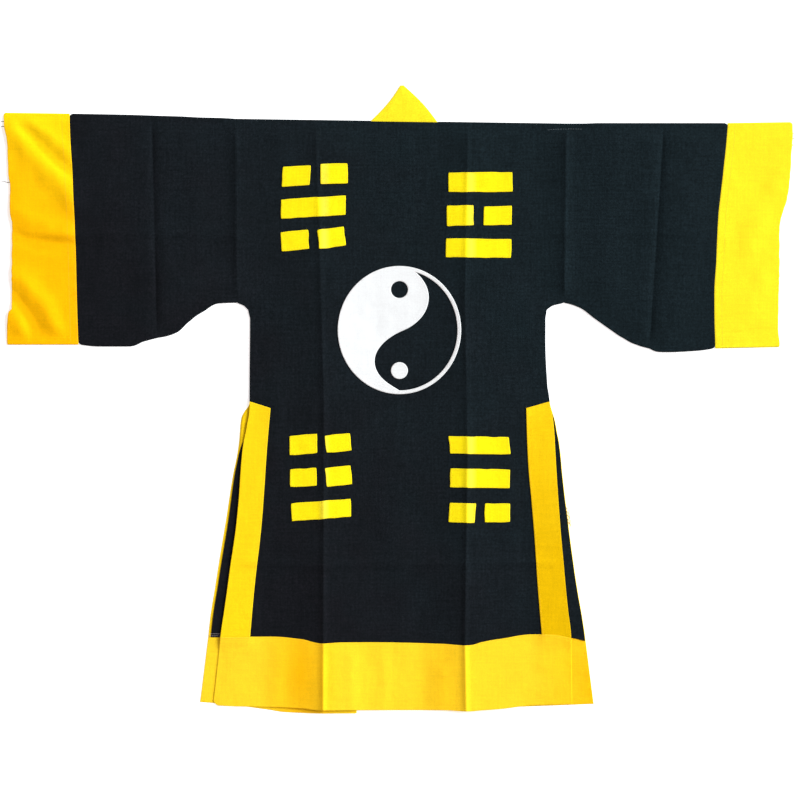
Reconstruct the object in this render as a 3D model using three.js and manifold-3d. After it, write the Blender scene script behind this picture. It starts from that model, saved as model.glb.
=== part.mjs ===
import * as THREE from 'three';
import { mergeVertices } from 'three/addons/utils/BufferGeometryUtils.js';
import Module from 'manifold-3d';

// A priest's robe with wide sleeves. It lies flat, with its front on the surface and its back up.
// Millimetres: +X to the wearer's right, +Y to the collar, +Z up out of the back.

const wasm = await Module();
wasm.setup();

const { clamp, degToRad, lerp } = THREE.MathUtils;

// Cloth thicknesses and the gaps between pieces
const CLOTH = 1.2;
const APPLIQUE = 1;
const LAYER_GAP = 0.4;
const SEAM_GAP = 0.3;

// The back lies on the front, and a folded edge rolls round the gap between them
const BACK_LEVEL = CLOTH + LAYER_GAP;
const ROLL = CLOTH + LAYER_GAP / 2;
const ROLL_INSIDE = LAYER_GAP / 2;
const ROLL_STEPS = 4;
const SEWN_ON = CLOTH + SEAM_GAP;

// Shoulder line, neck and armholes
const SHOULDER = { left: { x: -343, y: 597 }, right: { x: 358, y: 587 } };
const NECK = { left: -57, right: 85 };
const ARMHOLE_PARTS = [0, 0.03, 0.1, 0.4, 0.7];
const SHOULDER_FADE = 40;

// Sides of the body from the underarm down to where the slits start
const BODY_SIDES = [
  { y: 206, left: -341, right: 354 },
  { y: 198, left: -324, right: 326 },
  { y: 185, left: -316, right: 316 },
  { y: 163, left: -313, right: 314 },
  { y: 31, left: -314, right: 318 },
  { y: 18, left: -314, right: 320 },
  { y: -4, left: -314, right: 323 },
];
const SLIT_TOP = -4;

// The back's edges along the slits, down to the hem band
const BACK_SLITS = [
  { y: -57, left: -320, right: 332 },
  { y: -107, left: -329, right: 335 },
  { y: -224, left: -338, right: 343 },
  { y: -355, left: -351, right: 353 },
  { y: -449, left: -365, right: 363 },
  { y: -505, left: -373, right: 371 },
];

// The front spreads wider than the back below the slits
const FRONT_SLITS = [
  { y: -43, left: -329, right: 332 },
  { y: -96, left: -339, right: 339 },
  { y: -160, left: -352, right: 348 },
  { y: -256, left: -370, right: 361 },
  { y: -351, left: -388, right: 372 },
  { y: -435, left: -400, right: 385 },
  { y: -505, left: -406, right: 396 },
];
const FRONT_RIM = { left: 7, right: 2 };

// The back's hem band, with the line of its seam and the line of its bottom edge
const HEM_BACK = [
  { x: -382, top: -504, bottom: -649 },
  { x: -288, top: -503, bottom: -652 },
  { x: -205, top: -508, bottom: -655 },
  { x: -158, top: -517, bottom: -659 },
  { x: -118, top: -515, bottom: -659 },
  { x: 95, top: -518, bottom: -659 },
  { x: 146, top: -521, bottom: -661 },
  { x: 180, top: -514, bottom: -659 },
  { x: 222, top: -507, bottom: -656 },
  { x: 305, top: -498, bottom: -648 },
  { x: 372, top: -506, bottom: -647 },
];
const HEM_BACK_ENDS = { left: -391, right: 372 };
const HEM_PARTS = [0, 0.28, 1];

// The front's hem bands: bottom edges from the side in, and their height at the collar band
const HEM_FRONT = {
  left: [
    { x: -419, y: -642 },
    { x: -392, y: -644 },
    { x: -275, y: -658 },
    { x: -228, y: -664 },
    { x: -122, y: -666 },
  ],
  right: [
    { x: 414, y: -646 },
    { x: 218, y: -653 },
  ],
};
const HEM_FRONT_AT_COLLAR = { left: -666, right: -657 };

// Slit bands: inner edge of the back's, and one width for the front's
const SLIT_BAND_INNER = [
  { y: -18, left: -270, right: 271 },
  { y: -110, left: -280, right: 277 },
  { y: -340, left: -297, right: 293 },
  { y: -505, left: -312, right: 307 },
];
const SLIT_BAND_FRONT = 56;
const SLIT_BAND_SLANT = 14;

// How the panels rise over the front's slit bands, by distance from the edge and from the slit
const FRONT_RISE = { full: 61, none: 75, above: 22 };
const BACK_RISE = { full: 62, none: 84, above: 35, below: 40 };

// Sleeves from the armhole to the cuff: ends of each section on the upper and lower fold
const SLEEVE_LEFT = [
  { topX: -343.3, topY: 597, bottomX: -341.3, bottomY: 206 },
  { topX: -379, topY: 599, bottomX: -373, bottomY: 205 },
  { topX: -420, topY: 600, bottomX: -411, bottomY: 188 },
  { topX: -458, topY: 602, bottomX: -445, bottomY: 164 },
  { topX: -490, topY: 603, bottomX: -475, bottomY: 140 },
  { topX: -522, topY: 604, bottomX: -511, bottomY: 131 },
  { topX: -551, topY: 605, bottomX: -541, bottomY: 123 },
  { topX: -590, topY: 606, bottomX: -575, bottomY: 113 },
  { topX: -643, topY: 607, bottomX: -626, bottomY: 113 },
];
const SLEEVE_RIGHT = [
  { topX: 358.3, topY: 587, bottomX: 354.3, bottomY: 206 },
  { topX: 392, topY: 587, bottomX: 381, bottomY: 198 },
  { topX: 430, topY: 588, bottomX: 418, bottomY: 173 },
  { topX: 469, topY: 588, bottomX: 452, bottomY: 149 },
  { topX: 507, topY: 588, bottomX: 481, bottomY: 130 },
  { topX: 537, topY: 588, bottomX: 507, bottomY: 117 },
  { topX: 566, topY: 588, bottomX: 534, bottomY: 109 },
  { topX: 600, topY: 588, bottomX: 566, bottomY: 101 },
  { topX: 651, topY: 588, bottomX: 622, bottomY: 103 },
];

// Cuffs: a row for each line round them, from the upper fold down to the lower one
const CUFF_LEFT = [
  { seamX: -697, seamY: 608, openX: -837, openY: 610 },
  { seamX: -695, seamY: 552, openX: -836, openY: 572 },
  { seamX: -692, seamY: 509, openX: -830, openY: 509 },
  { seamX: -690, seamY: 467, openX: -828, openY: 467 },
  { seamX: -688, seamY: 424, openX: -824, openY: 424 },
  { seamX: -686, seamY: 382, openX: -821, openY: 382 },
  { seamX: -683, seamY: 293, openX: -821, openY: 293 },
  { seamX: -681, seamY: 212, openX: -821, openY: 212 },
  { seamX: -678, seamY: 117, openX: -831, openY: 117 },
];
const CUFF_RIGHT = [
  { seamX: 702, seamY: 588, openX: 838, openY: 590 },
  { seamX: 698, seamY: 541, openX: 839, openY: 541 },
  { seamX: 694, seamY: 504, openX: 835, openY: 504 },
  { seamX: 690, seamY: 467, openX: 830, openY: 467 },
  { seamX: 685, seamY: 424, openX: 821, openY: 424 },
  { seamX: 681, seamY: 382, openX: 813, openY: 382 },
  { seamX: 677, seamY: 293, openX: 809, openY: 293 },
  { seamX: 673, seamY: 212, openX: 808, openY: 212 },
  { seamX: 675, seamY: 109, openX: 813, openY: 112 },
];
const CUFF_PARTS = [0, 0.25, 0.5, 0.75, 1];
const TUBE_FADE = 45;

// Collar band: its seams and free edges at the hem, and where its two folds meet on top
const COLLAR = {
  apexLeft: 6,
  apexRight: 14,
  apexY: 667,
  bottomY: -655,
  seamLeft: -87,
  freeLeft: -18,
  freeRight: -13,
  seamRight: 56,
};
const COLLAR_LEVELS = [-655, -300, 0, 300, 575];

// Creases from storage: soft ridges across the cloth
const CREASES = [
  { height: 6, reach: 72, path: [[-175, 592], [-165, 318], [-156, -1], [-158, -659]] },
  { height: 5, reach: 72, path: [[150, 590], [143, 212], [149, -107], [143, -517], [146, -661]] },
  { height: 3.5, reach: 60, path: [[-522, 603], [-520, 361], [-512, 133]] },
  { height: 3.5, reach: 60, path: [[566, 588], [558, 424], [539, 212], [534, 110]] },
  { height: 2.5, reach: 34, path: [[-343, 560], [-341, 215]] },
  { height: 2.5, reach: 34, path: [[358, 550], [354, 215]] },
  { height: 3, reach: 42, path: [[-826, 590], [-696, 424]] },
  { height: 2.5, reach: 42, path: [[-817, 290], [-696, 218]] },
];
const BESIDE_CREASE = [-55, -22, 0, 22, 55];

// Taiji: a white disc whose dark half is cut away
const TAIJI = {
  x: 4,
  y: 148,
  radiusX: 131.5,
  radiusY: 136.4,
  ring: 8,
  tailX: 42,
  holeY: 86,
  holeRadius: 17,
  dotY: -86,
  dotRadius: 18,
};

// The line between the halves, up from the foot of the ring: each curve's two handles and end,
// from the disc's centre
const TAIJI_LINE = [
  { x1: -22, y1: -125, x2: -52, y2: -98, x: -55.5, y: -70 },
  { x1: -55.5, y1: -38, x2: -26, y2: -14, x: 6, y: 0 },
  { x1: 32, y1: 10, x2: 60.5, y2: 32, x: 60.5, y: 68 },
  { x1: 60.5, y1: 90, x2: 50, y2: 104, x: 42, y: 120 },
];

// Trigram bars: centre, size, and the angles of the long and short sides in degrees
const BARS = [
  { name: 'kan_1', x: -215, y: 475, width: 61, height: 43, tilt: 3.3, lean: -4.6 },
  { name: 'kan_2', x: -135, y: 480, width: 59, height: 44, tilt: 1.2, lean: 1 },
  { name: 'kan_3', x: -179, y: 409, width: 139, height: 42, tilt: 3.5, lean: -0.6 },
  { name: 'kan_4', x: -218, y: 338, width: 60, height: 42, tilt: 5.1, lean: 2.9 },
  { name: 'kan_5', x: -140, y: 344, width: 58, height: 42, tilt: 8.3, lean: 6.2 },
  { name: 'li_1', x: 176, y: 462, width: 138, height: 43, tilt: 0.4, lean: 0.2 },
  { name: 'li_2', x: 133, y: 391, width: 58, height: 44, tilt: 1.4, lean: 0.3 },
  { name: 'li_3', x: 213, y: 391, width: 61, height: 41, tilt: 2.2, lean: -1.5 },
  { name: 'li_4', x: 172, y: 322, width: 140, height: 41, tilt: -0.5, lean: -1.2 },
  { name: 'zhen_1', x: -200, y: -95, width: 60, height: 42, tilt: 5.5, lean: 0.9 },
  { name: 'zhen_2', x: -126, y: -92, width: 55, height: 38, tilt: 5.3, lean: 6.3 },
  { name: 'zhen_3', x: -200, y: -165, width: 58, height: 39, tilt: 3.2, lean: 0.6 },
  { name: 'zhen_4', x: -125, y: -162, width: 56, height: 41, tilt: 6.6, lean: 5.5 },
  { name: 'zhen_5', x: -162, y: -234, width: 128, height: 39, tilt: 4.6, lean: 1.7 },
  { name: 'xun_1', x: 174, y: -97, width: 129, height: 38, tilt: -0.9, lean: 6.4 },
  { name: 'xun_2', x: 175, y: -167, width: 128, height: 41, tilt: -1.2, lean: -1.9 },
  { name: 'xun_3', x: 137, y: -240, width: 57, height: 43, tilt: -1.6, lean: -4.3 },
  { name: 'xun_4', x: 212, y: -240, width: 55, height: 41, tilt: 0.8, lean: -0.6 },
];

// Cutting prisms reach well past the cloth, above it, below it and beside its edge
const PRISM_BOTTOM = -5;
const PRISM_TOP = 40;
const PAST_EDGE = 20;

const BLACK = new THREE.MeshStandardMaterial({ color: 0x1a2024, roughness: 0.85, metalness: 0 });
const YELLOW = new THREE.MeshStandardMaterial({ color: 0xffd61a, roughness: 0.7, metalness: 0 });
const WHITE = new THREE.MeshStandardMaterial({ color: 0xf4f6f8, roughness: 0.7, metalness: 0 });

// How far a value has gone from where something is absent (0) to where it is full (1)
function ramp(value, none, full) {
  return clamp((value - none) / (full - none), 0, 1);
}

// A column of a table, read at a value that lies between two rows
function readTable(rows, key, column, value) {
  const rising = rows[rows.length - 1][key] > rows[0][key];
  let row = 0;
  while (row < rows.length - 2 && (rising ? value > rows[row + 1][key] : value < rows[row + 1][key])) {
    row += 1;
  }
  return lerp(rows[row][column], rows[row + 1][column], ramp(value, rows[row][key], rows[row + 1][key]));
}

// A point part of the way from one to another
function mix(a, b, part) {
  return { x: lerp(a.x, b.x, part), y: lerp(a.y, b.y, part) };
}

function distanceToPath(path, x, y) {
  let nearest = Infinity;
  for (let i = 0; i < path.length - 1; i += 1) {
    const [ax, ay] = path[i];
    const [bx, by] = path[i + 1];
    const along = ((x - ax) * (bx - ax) + (y - ay) * (by - ay)) / ((bx - ax) ** 2 + (by - ay) ** 2);
    const part = clamp(along, 0, 1);
    nearest = Math.min(nearest, Math.hypot(x - lerp(ax, bx, part), y - lerp(ay, by, part)));
  }
  return nearest;
}

// Height of the creases: each rises to a soft edge along its path
function creaseHeight(x, y) {
  let height = 0;
  for (const crease of CREASES) {
    const near = ramp(distanceToPath(crease.path, x, y), crease.reach, 0);
    height = Math.max(height, crease.height * near * near);
  }
  return height;
}

function creaseX(crease, y) {
  const rows = crease.path.map(([px, py]) => ({ x: px, y: py }));
  return readTable(rows, 'y', 'x', y);
}

function shoulderY(x) {
  return lineY(SHOULDER, x);
}

// Height on the straight line between a section's two ends
function lineY({ left, right }, x) {
  return lerp(left.y, right.y, (x - left.x) / (right.x - left.x));
}

function hemTop(x) {
  return readTable(HEM_BACK, 'x', 'top', x);
}

// A closed wall between two grids of points, given as rows. In a loop the last column joins the first.
function wall(under, over, loop = false) {
  const rows = under.length;
  const columns = under[0].length;
  const spans = loop ? columns : columns - 1;
  const upper = rows * columns;
  const index = [];
  const at = (row, column) => row * columns + (column % columns);
  const quad = (a, b, c, d) => index.push(a, b, c, a, c, d);
  for (let row = 0; row < rows - 1; row += 1) {
    for (let column = 0; column < spans; column += 1) {
      const a = at(row, column);
      const b = at(row, column + 1);
      const c = at(row + 1, column + 1);
      const d = at(row + 1, column);
      quad(upper + a, upper + b, upper + c, upper + d);
      quad(a, d, c, b);
    }
  }
  for (let column = 0; column < spans; column += 1) {
    const a = at(0, column);
    const b = at(0, column + 1);
    const c = at(rows - 1, column);
    const d = at(rows - 1, column + 1);
    quad(a, b, upper + b, upper + a);
    quad(d, c, upper + c, upper + d);
  }
  if (!loop) {
    for (let row = 0; row < rows - 1; row += 1) {
      const a = at(row, 0);
      const b = at(row + 1, 0);
      const c = at(row, columns - 1);
      const d = at(row + 1, columns - 1);
      quad(b, a, upper + a, upper + b);
      quad(c, d, upper + d, upper + c);
    }
  }
  return outward([...under.flat(), ...over.flat()], index);
}

// A geometry whose faces point out, whichever way its grids were wound
function outward(points, index) {
  let volume = 0;
  for (let i = 0; i < index.length; i += 3) {
    const [a, b, c] = [points[index[i]], points[index[i + 1]], points[index[i + 2]]];
    volume += a.dot(new THREE.Vector3().crossVectors(b, c));
  }
  const geometry = new THREE.BufferGeometry().setFromPoints(points);
  geometry.setIndex(volume > 0 ? index : index.reverse());
  return geometry;
}

// A flat plate with the given outline
function plate(outline, bottom, top) {
  const shape = new THREE.Shape(outline.map((p) => new THREE.Vector2(p.x, p.y)));
  return prism(shape, bottom, top);
}

function prism(shape, bottom, top, curveSegments = 12) {
  const settings = { depth: top - bottom, bevelEnabled: false, curveSegments };
  const geometry = new THREE.ExtrudeGeometry(shape, settings).translate(0, 0, bottom);
  geometry.deleteAttribute('normal');
  geometry.deleteAttribute('uv');
  return mergeVertices(geometry);
}

function toSolid(geometry) {
  const vertProperties = geometry.attributes.position.array;
  const triVerts = new Uint32Array(geometry.index.array);
  return new wasm.Manifold(new wasm.Mesh({ numProp: 3, vertProperties, triVerts }));
}

function fromSolid(solid) {
  const { vertProperties, triVerts } = solid.getMesh();
  const geometry = new THREE.BufferGeometry();
  geometry.setAttribute('position', new THREE.BufferAttribute(vertProperties, 3));
  geometry.setIndex(new THREE.BufferAttribute(triVerts, 1));
  return geometry;
}

// Back of the body

// Sections from the shoulder to the slits, each with its two ends
function bodySections() {
  const underarm = BODY_SIDES[0];
  const sections = ARMHOLE_PARTS.map((part) => ({
    left: mix(SHOULDER.left, { x: underarm.left, y: underarm.y }, part),
    right: mix(SHOULDER.right, { x: underarm.right, y: underarm.y }, part),
  }));
  return [...sections, ...sideSections(BODY_SIDES)];
}

function sideSections(rows) {
  return rows.map(({ y, left, right }) => ({ left: { x: left, y }, right: { x: right, y } }));
}

function backColumns(left, right, y) {
  const [creaseLeft, creaseRight] = [creaseX(CREASES[0], y), creaseX(CREASES[1], y)];
  return [
    left,
    left + BACK_RISE.full,
    left + BACK_RISE.none,
    ...BESIDE_CREASE.map((offset) => creaseLeft + offset),
    (creaseLeft + creaseRight) / 2,
    ...BESIDE_CREASE.map((offset) => creaseRight + offset),
    right - BACK_RISE.none,
    right - BACK_RISE.full,
    right,
  ];
}

// The back's underside over the front: level, rise over the slit bands, and creases
function backHeight(x, y, left, right, bandPart) {
  const fromEdge = Math.min(x - left, right - x);
  const rise = SEWN_ON * ramp(fromEdge, BACK_RISE.none, BACK_RISE.full) * bandPart;
  const shoulderPart = ramp(shoulderY(x) - y, 0, SHOULDER_FADE);
  return BACK_LEVEL + rise + creaseHeight(x, y) * shoulderPart;
}

function backGrid() {
  const sections = [...bodySections(), ...sideSections(BACK_SLITS)];
  return sections.map((section, index) => {
    const { left, right } = section;
    const bandPart = ramp(left.y, SLIT_TOP + BACK_RISE.above, SLIT_TOP);
    const isLast = index === sections.length - 1;
    const seam = index === 0 ? ROLL + SEAM_GAP : 0;
    return backColumns(left.x, right.x, left.y).map((x) => {
      const y = isLast ? hemTop(x) : lineY(section, x) - seam;
      return new THREE.Vector3(x, y, backHeight(x, y, left.x, right.x, bandPart));
    });
  });
}

function moved(grid, up) {
  return grid.map((row) => row.map((point) => new THREE.Vector3(point.x, point.y, point.z + up)));
}

const BACK = backGrid();

function backPanel() {
  return wall(BACK, moved(BACK, CLOTH));
}

function hemBack() {
  const seam = BACK_SLITS[BACK_SLITS.length - 1];
  const grid = HEM_PARTS.map((part) => {
    const left = lerp(seam.left, HEM_BACK_ENDS.left, part);
    const right = lerp(seam.right, HEM_BACK_ENDS.right, part);
    return backColumns(left, right, lerp(seam.y, HEM_BACK[0].bottom, part)).map((x) => {
      const top = hemTop(x) - SEAM_GAP;
      const y = lerp(top, readTable(HEM_BACK, 'x', 'bottom', x), part);
      const bandPart = ramp(top - y, BACK_RISE.below, 0);
      return new THREE.Vector3(x, y, backHeight(x, y, left, right, bandPart));
    });
  });
  return wall(grid, moved(grid, CLOTH));
}

// Pieces sewn on the back: its own points moved out, cut to an outline

const ON_BACK = toSolid(wall(moved(BACK, SEWN_ON), moved(BACK, SEWN_ON + APPLIQUE)));
const BAND_ON_BACK = toSolid(wall(moved(BACK, SEWN_ON), moved(BACK, SEWN_ON + CLOTH)));

function bar({ x, y, width, height, tilt, lean }) {
  const along = new THREE.Vector2(width / 2, 0).rotateAround(new THREE.Vector2(), degToRad(tilt));
  const across = new THREE.Vector2(0, height / 2).rotateAround(new THREE.Vector2(), degToRad(lean));
  const corners = [[-1, -1], [1, -1], [1, 1], [-1, 1]].map(([a, b]) => ({
    x: x + a * along.x + b * across.x,
    y: y + a * along.y + b * across.y,
  }));
  return fromSolid(ON_BACK.intersect(toSolid(plate(corners, PRISM_BOTTOM, PRISM_TOP))));
}

function slitBandBack(side) {
  const sign = side === 'left' ? -1 : 1;
  const foot = BACK_SLITS[BACK_SLITS.length - 1];
  const corner = BODY_SIDES[BODY_SIDES.length - 1];
  const outline = [
    ...SLIT_BAND_INNER.map((row) => ({ x: row[side], y: row.y })),
    { x: SLIT_BAND_INNER[SLIT_BAND_INNER.length - 1][side], y: foot.y - PAST_EDGE },
    { x: foot[side] + sign * PAST_EDGE, y: foot.y - PAST_EDGE },
    { x: corner[side] + sign * PAST_EDGE, y: SLIT_TOP },
    { x: corner[side], y: SLIT_TOP },
  ];
  return fromSolid(BAND_ON_BACK.intersect(toSolid(plate(outline, PRISM_BOTTOM, PRISM_TOP))));
}

function ellipse(x, y, radiusX, radiusY) {
  return new THREE.Shape().absellipse(x, y, radiusX, radiusY, 0, Math.PI * 2);
}

// The dark half: down inside the ring on the right, then back up along the line
function taijiDark() {
  const { x, y, radiusX, radiusY, ring, tailX } = TAIJI;
  const [insideX, insideY] = [radiusX - ring, radiusY - ring];
  const shape = new THREE.Shape();
  shape.absellipse(x, y, insideX, insideY, Math.acos(tailX / insideX), -Math.PI / 2, true);
  for (const curve of TAIJI_LINE) {
    shape.bezierCurveTo(
      x + curve.x1, y + curve.y1, x + curve.x2, y + curve.y2, x + curve.x, y + curve.y,
    );
  }
  return shape;
}

function taijiWhite() {
  const { x, y, radiusX, radiusY, holeY, holeRadius } = TAIJI;
  const cut = (shape, segments) => toSolid(prism(shape, PRISM_BOTTOM, PRISM_TOP, segments));
  const disc = ON_BACK.intersect(cut(ellipse(x, y, radiusX, radiusY), 56));
  const hole = cut(ellipse(x, y + holeY, holeRadius, holeRadius), 20);
  return fromSolid(disc.subtract(cut(taijiDark(), 10)).subtract(hole));
}

function taijiDot() {
  const { x, y, dotY, dotRadius } = TAIJI;
  const outline = prism(ellipse(x, y + dotY, dotRadius, dotRadius), PRISM_BOTTOM, PRISM_TOP, 24);
  return fromSolid(ON_BACK.intersect(toSolid(outline)));
}

// Front of the body

const FRONT_SECTIONS = [...bodySections(), ...sideSections(FRONT_SLITS)];

// Seam of the collar band with a front panel, which is straight from the neck to the hem
function collarSeam(side, y) {
  const [neck, hem] = [collarCorner(side), COLLAR[side === 'left' ? 'seamLeft' : 'seamRight']];
  return lerp(neck.x, hem, (neck.y - y) / (neck.y - COLLAR.bottomY));
}

// Places of a front section's points, from the side in to the collar band
function frontColumns(side, section) {
  const sign = side === 'left' ? 1 : -1;
  const { x: edge, y } = section[side];
  const rim = FRONT_RIM[side] * ramp(y, SLIT_TOP, FRONT_SLITS[0].y);
  const crease = creaseX(CREASES[side === 'left' ? 0 : 1], y);
  const seamY = frontRowY(section, collarSeam(side, y));
  return [
    edge + sign * rim,
    edge + sign * FRONT_RISE.full,
    edge + sign * FRONT_RISE.none,
    crease,
    collarSeam(side, seamY) - sign * SEAM_GAP,
  ];
}

// A front section is straight across, but the last one follows the seam of the hem band
function frontRowY(section, x) {
  const isLast = section === FRONT_SECTIONS[FRONT_SECTIONS.length - 1];
  return isLast ? hemTop(x) : lineY(section, x);
}

// The seam of a front panel with its hem band, from the side in
function frontHemSeam(side) {
  const foot = FRONT_SECTIONS[FRONT_SECTIONS.length - 1];
  const xs = frontColumns(side, foot);
  xs[0] = foot[side].x;
  return xs.map((x) => ({ x, y: hemTop(x) }));
}

function frontPanel(side) {
  const neck = NECK[side] + (side === 'left' ? -SEAM_GAP : SEAM_GAP);
  const shoulder = FRONT_SECTIONS[0];
  const shoulderXs = [...frontColumns(side, shoulder).slice(0, -1), neck];
  const outer = [];
  const inner = [];
  for (let step = 0; step <= ROLL_STEPS; step += 1) {
    const angle = lerp(Math.PI / 2, -Math.PI / 2, step / ROLL_STEPS);
    outer.push(shoulderXs.map((x) => rolled(x, angle, ROLL)));
    inner.push(shoulderXs.map((x) => rolled(x, angle, ROLL_INSIDE)));
  }
  for (const section of FRONT_SECTIONS.slice(1)) {
    const { x: edge, y } = section[side];
    const bandPart = ramp(y, SLIT_TOP + FRONT_RISE.above, SLIT_TOP);
    const row = frontColumns(side, section).map((x) => {
      const rise = SEWN_ON * ramp(Math.abs(x - edge), FRONT_RISE.none, FRONT_RISE.full) * bandPart;
      return new THREE.Vector3(x, frontRowY(section, x), rise);
    });
    outer.push(row);
    inner.push(moved([row], CLOTH)[0]);
  }
  return wall(outer, inner);
}

// A point on the shoulder's roll: a quarter turn is its top, a quarter turn back its bottom
function rolled(x, angle, radius) {
  const y = shoulderY(x) - ROLL + Math.cos(angle) * radius;
  return new THREE.Vector3(x, y, ROLL + Math.sin(angle) * radius);
}

function slitBandFront(side) {
  const sign = side === 'left' ? 1 : -1;
  const top = { x: BODY_SIDES[BODY_SIDES.length - 1][side], y: SLIT_TOP };
  const outer = [top, ...FRONT_SLITS.map((row) => ({ x: row[side], y: row.y }))];
  outer.pop();
  const inner = outer.map(({ x, y }) => ({ x: x + sign * SLIT_BAND_FRONT, y })).reverse();
  inner[inner.length - 1].y -= SLIT_BAND_SLANT;
  const [seamStart, seamNext] = frontHemSeam(side);
  const innerFoot = mix(seamStart, seamNext, SLIT_BAND_FRONT / FRONT_RISE.full);
  return plate([...outer, seamStart, innerFoot, ...inner], 0, CLOTH);
}

function hemFront(side) {
  const sign = side === 'left' ? 1 : -1;
  const seam = frontHemSeam(side).map(({ x, y }) => ({ x, y: y - SEAM_GAP }));
  const y = HEM_FRONT_AT_COLLAR[side];
  const corner = { x: collarSeam(side, y) - sign * SEAM_GAP, y };
  return plate([...HEM_FRONT[side], corner, ...seam.reverse()], 0, CLOTH);
}

// Sleeves and cuffs: flattened tubes

// One turn of a tube: over the back along its line, round the lower fold, under, and round the
// upper fold. The line runs from the upper fold to the lower one.
function tubeSection(line, radius) {
  const first = line[0];
  const last = line[line.length - 1];
  const down = new THREE.Vector2(last.x - first.x, last.y - first.y).normalize();
  const length = Math.hypot(last.x - first.x, last.y - first.y);
  const centres = line.map((point, index) => {
    const inset = index === 0 ? ROLL : index === line.length - 1 ? -ROLL : 0;
    return { x: point.x + down.x * inset, y: point.y + down.y * inset };
  });
  const over = centres.map(({ x, y }) => {
    const gone = Math.hypot(x - first.x, y - first.y);
    const fade = ramp(Math.min(gone, length - gone), ROLL, TUBE_FADE);
    return new THREE.Vector3(x, y, ROLL + radius + creaseHeight(x, y) * fade);
  });
  const under = centres.map(({ x, y }) => new THREE.Vector3(x, y, ROLL - radius)).reverse();
  const turn = (centre, sign) => {
    const points = [];
    for (let step = 1; step < ROLL_STEPS; step += 1) {
      const angle = (Math.PI * step) / ROLL_STEPS;
      const out = Math.sin(angle) * radius * sign;
      const z = ROLL + Math.cos(angle) * radius * sign;
      points.push(new THREE.Vector3(centre.x + down.x * out, centre.y + down.y * out, z));
    }
    return points;
  };
  return [...over, ...turn(centres[centres.length - 1], 1), ...under, ...turn(centres[0], -1)];
}

function tube(lines) {
  const inner = lines.map((line) => tubeSection(line, ROLL_INSIDE));
  const outer = lines.map((line) => tubeSection(line, ROLL));
  return wall(inner, outer, true);
}

function sleeve(sections, cuff, towardsBody) {
  const top = cuff[0].seamY;
  const parts = cuff.map((row) => (top - row.seamY) / (top - cuff[cuff.length - 1].seamY));
  const lines = sections.map(({ topX, topY, bottomX, bottomY }) => (
    parts.map((part) => mix({ x: topX, y: topY }, { x: bottomX, y: bottomY }, part))
  ));
  const seam = cuff.map(({ seamX, seamY }) => ({ x: seamX + towardsBody * SEAM_GAP, y: seamY }));
  return tube([...lines, seam]);
}

function cuffTube(cuff) {
  const lines = CUFF_PARTS.map((part) => cuff.map(({ seamX, seamY, openX, openY }) => (
    mix({ x: seamX, y: seamY }, { x: openX, y: openY }, part)
  )));
  return tube(lines);
}

// Collar band

// Where a fold of the band starts at the neck. The roll round it stays clear of the front panel.
function collarCorner(side) {
  const sign = side === 'left' ? 1 : -1;
  const x = NECK[side] + sign * ROLL;
  return { x, y: shoulderY(x) - ROLL };
}

function collarTip(side) {
  const x = side === 'left' ? COLLAR.apexLeft + ROLL / 2 : COLLAR.apexRight - ROLL / 2;
  return { x, y: COLLAR.apexY - ROLL };
}

// Rows across the band, from the hem up one front edge and through the fold to the neck
function collarSide(side) {
  const sign = side === 'left' ? 1 : -1;
  const corner = collarCorner(side);
  const tip = collarTip(side);
  const freeHem = COLLAR[side === 'left' ? 'freeLeft' : 'freeRight'];
  const rows = COLLAR_LEVELS.map((y) => {
    const free = lerp(tip.x, freeHem, (tip.y - y) / (tip.y - COLLAR.bottomY));
    return [{ x: collarSeam(side, y), y }, { x: free, y }];
  });
  const outer = rows.map((row) => row.map(({ x, y }) => new THREE.Vector3(x, y, 0)));
  const inner = rows.map((row) => row.map(({ x, y }) => new THREE.Vector3(x, y, CLOTH)));
  const away = new THREE.Vector2(corner.y - tip.y, tip.x - corner.x).multiplyScalar(sign).normalize();
  for (let step = 0; step <= ROLL_STEPS; step += 1) {
    const angle = lerp(-Math.PI / 2, Math.PI / 2, step / ROLL_STEPS);
    const place = (centre, radius) => new THREE.Vector3(
      centre.x + away.x * Math.cos(angle) * radius,
      centre.y + away.y * Math.cos(angle) * radius,
      ROLL + Math.sin(angle) * radius,
    );
    outer.push([place(corner, ROLL), place(tip, ROLL)]);
    inner.push([place(corner, ROLL_INSIDE), place(tip, ROLL_INSIDE)]);
  }
  return { outer, inner };
}

function collarBand() {
  const left = collarSide('left');
  const right = collarSide('right');
  const outer = [...left.outer, ...right.outer.reverse()];
  const inner = [...left.inner, ...right.inner.reverse()];
  return wall(inner, outer);
}

const robe = new THREE.Group();

function add(name, geometry, material) {
  const mesh = new THREE.Mesh(geometry, material);
  mesh.name = name;
  mesh.geometry.computeVertexNormals();
  robe.add(mesh);
}

add('back_panel', backPanel(), BLACK);
add('front_panel_left', frontPanel('left'), BLACK);
add('front_panel_right', frontPanel('right'), BLACK);
add('sleeve_left', sleeve(SLEEVE_LEFT, CUFF_LEFT, 1), BLACK);
add('sleeve_right', sleeve(SLEEVE_RIGHT, CUFF_RIGHT, -1), BLACK);
add('cuff_left', cuffTube(CUFF_LEFT), YELLOW);
add('cuff_right', cuffTube(CUFF_RIGHT), YELLOW);
add('collar_band', collarBand(), YELLOW);
add('hem_back', hemBack(), YELLOW);
add('hem_front_left', hemFront('left'), YELLOW);
add('hem_front_right', hemFront('right'), YELLOW);
for (const side of ['left', 'right']) {
  add(`slit_band_back_${side}`, slitBandBack(side), YELLOW);
  add(`slit_band_front_${side}`, slitBandFront(side), YELLOW);
}
add('taiji_white', taijiWhite(), WHITE);
add('taiji_dot', taijiDot(), WHITE);
for (const row of BARS) {
  add(`bar_${row.name}`, bar(row), YELLOW);
}

export default robe;
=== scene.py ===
import math

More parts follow.
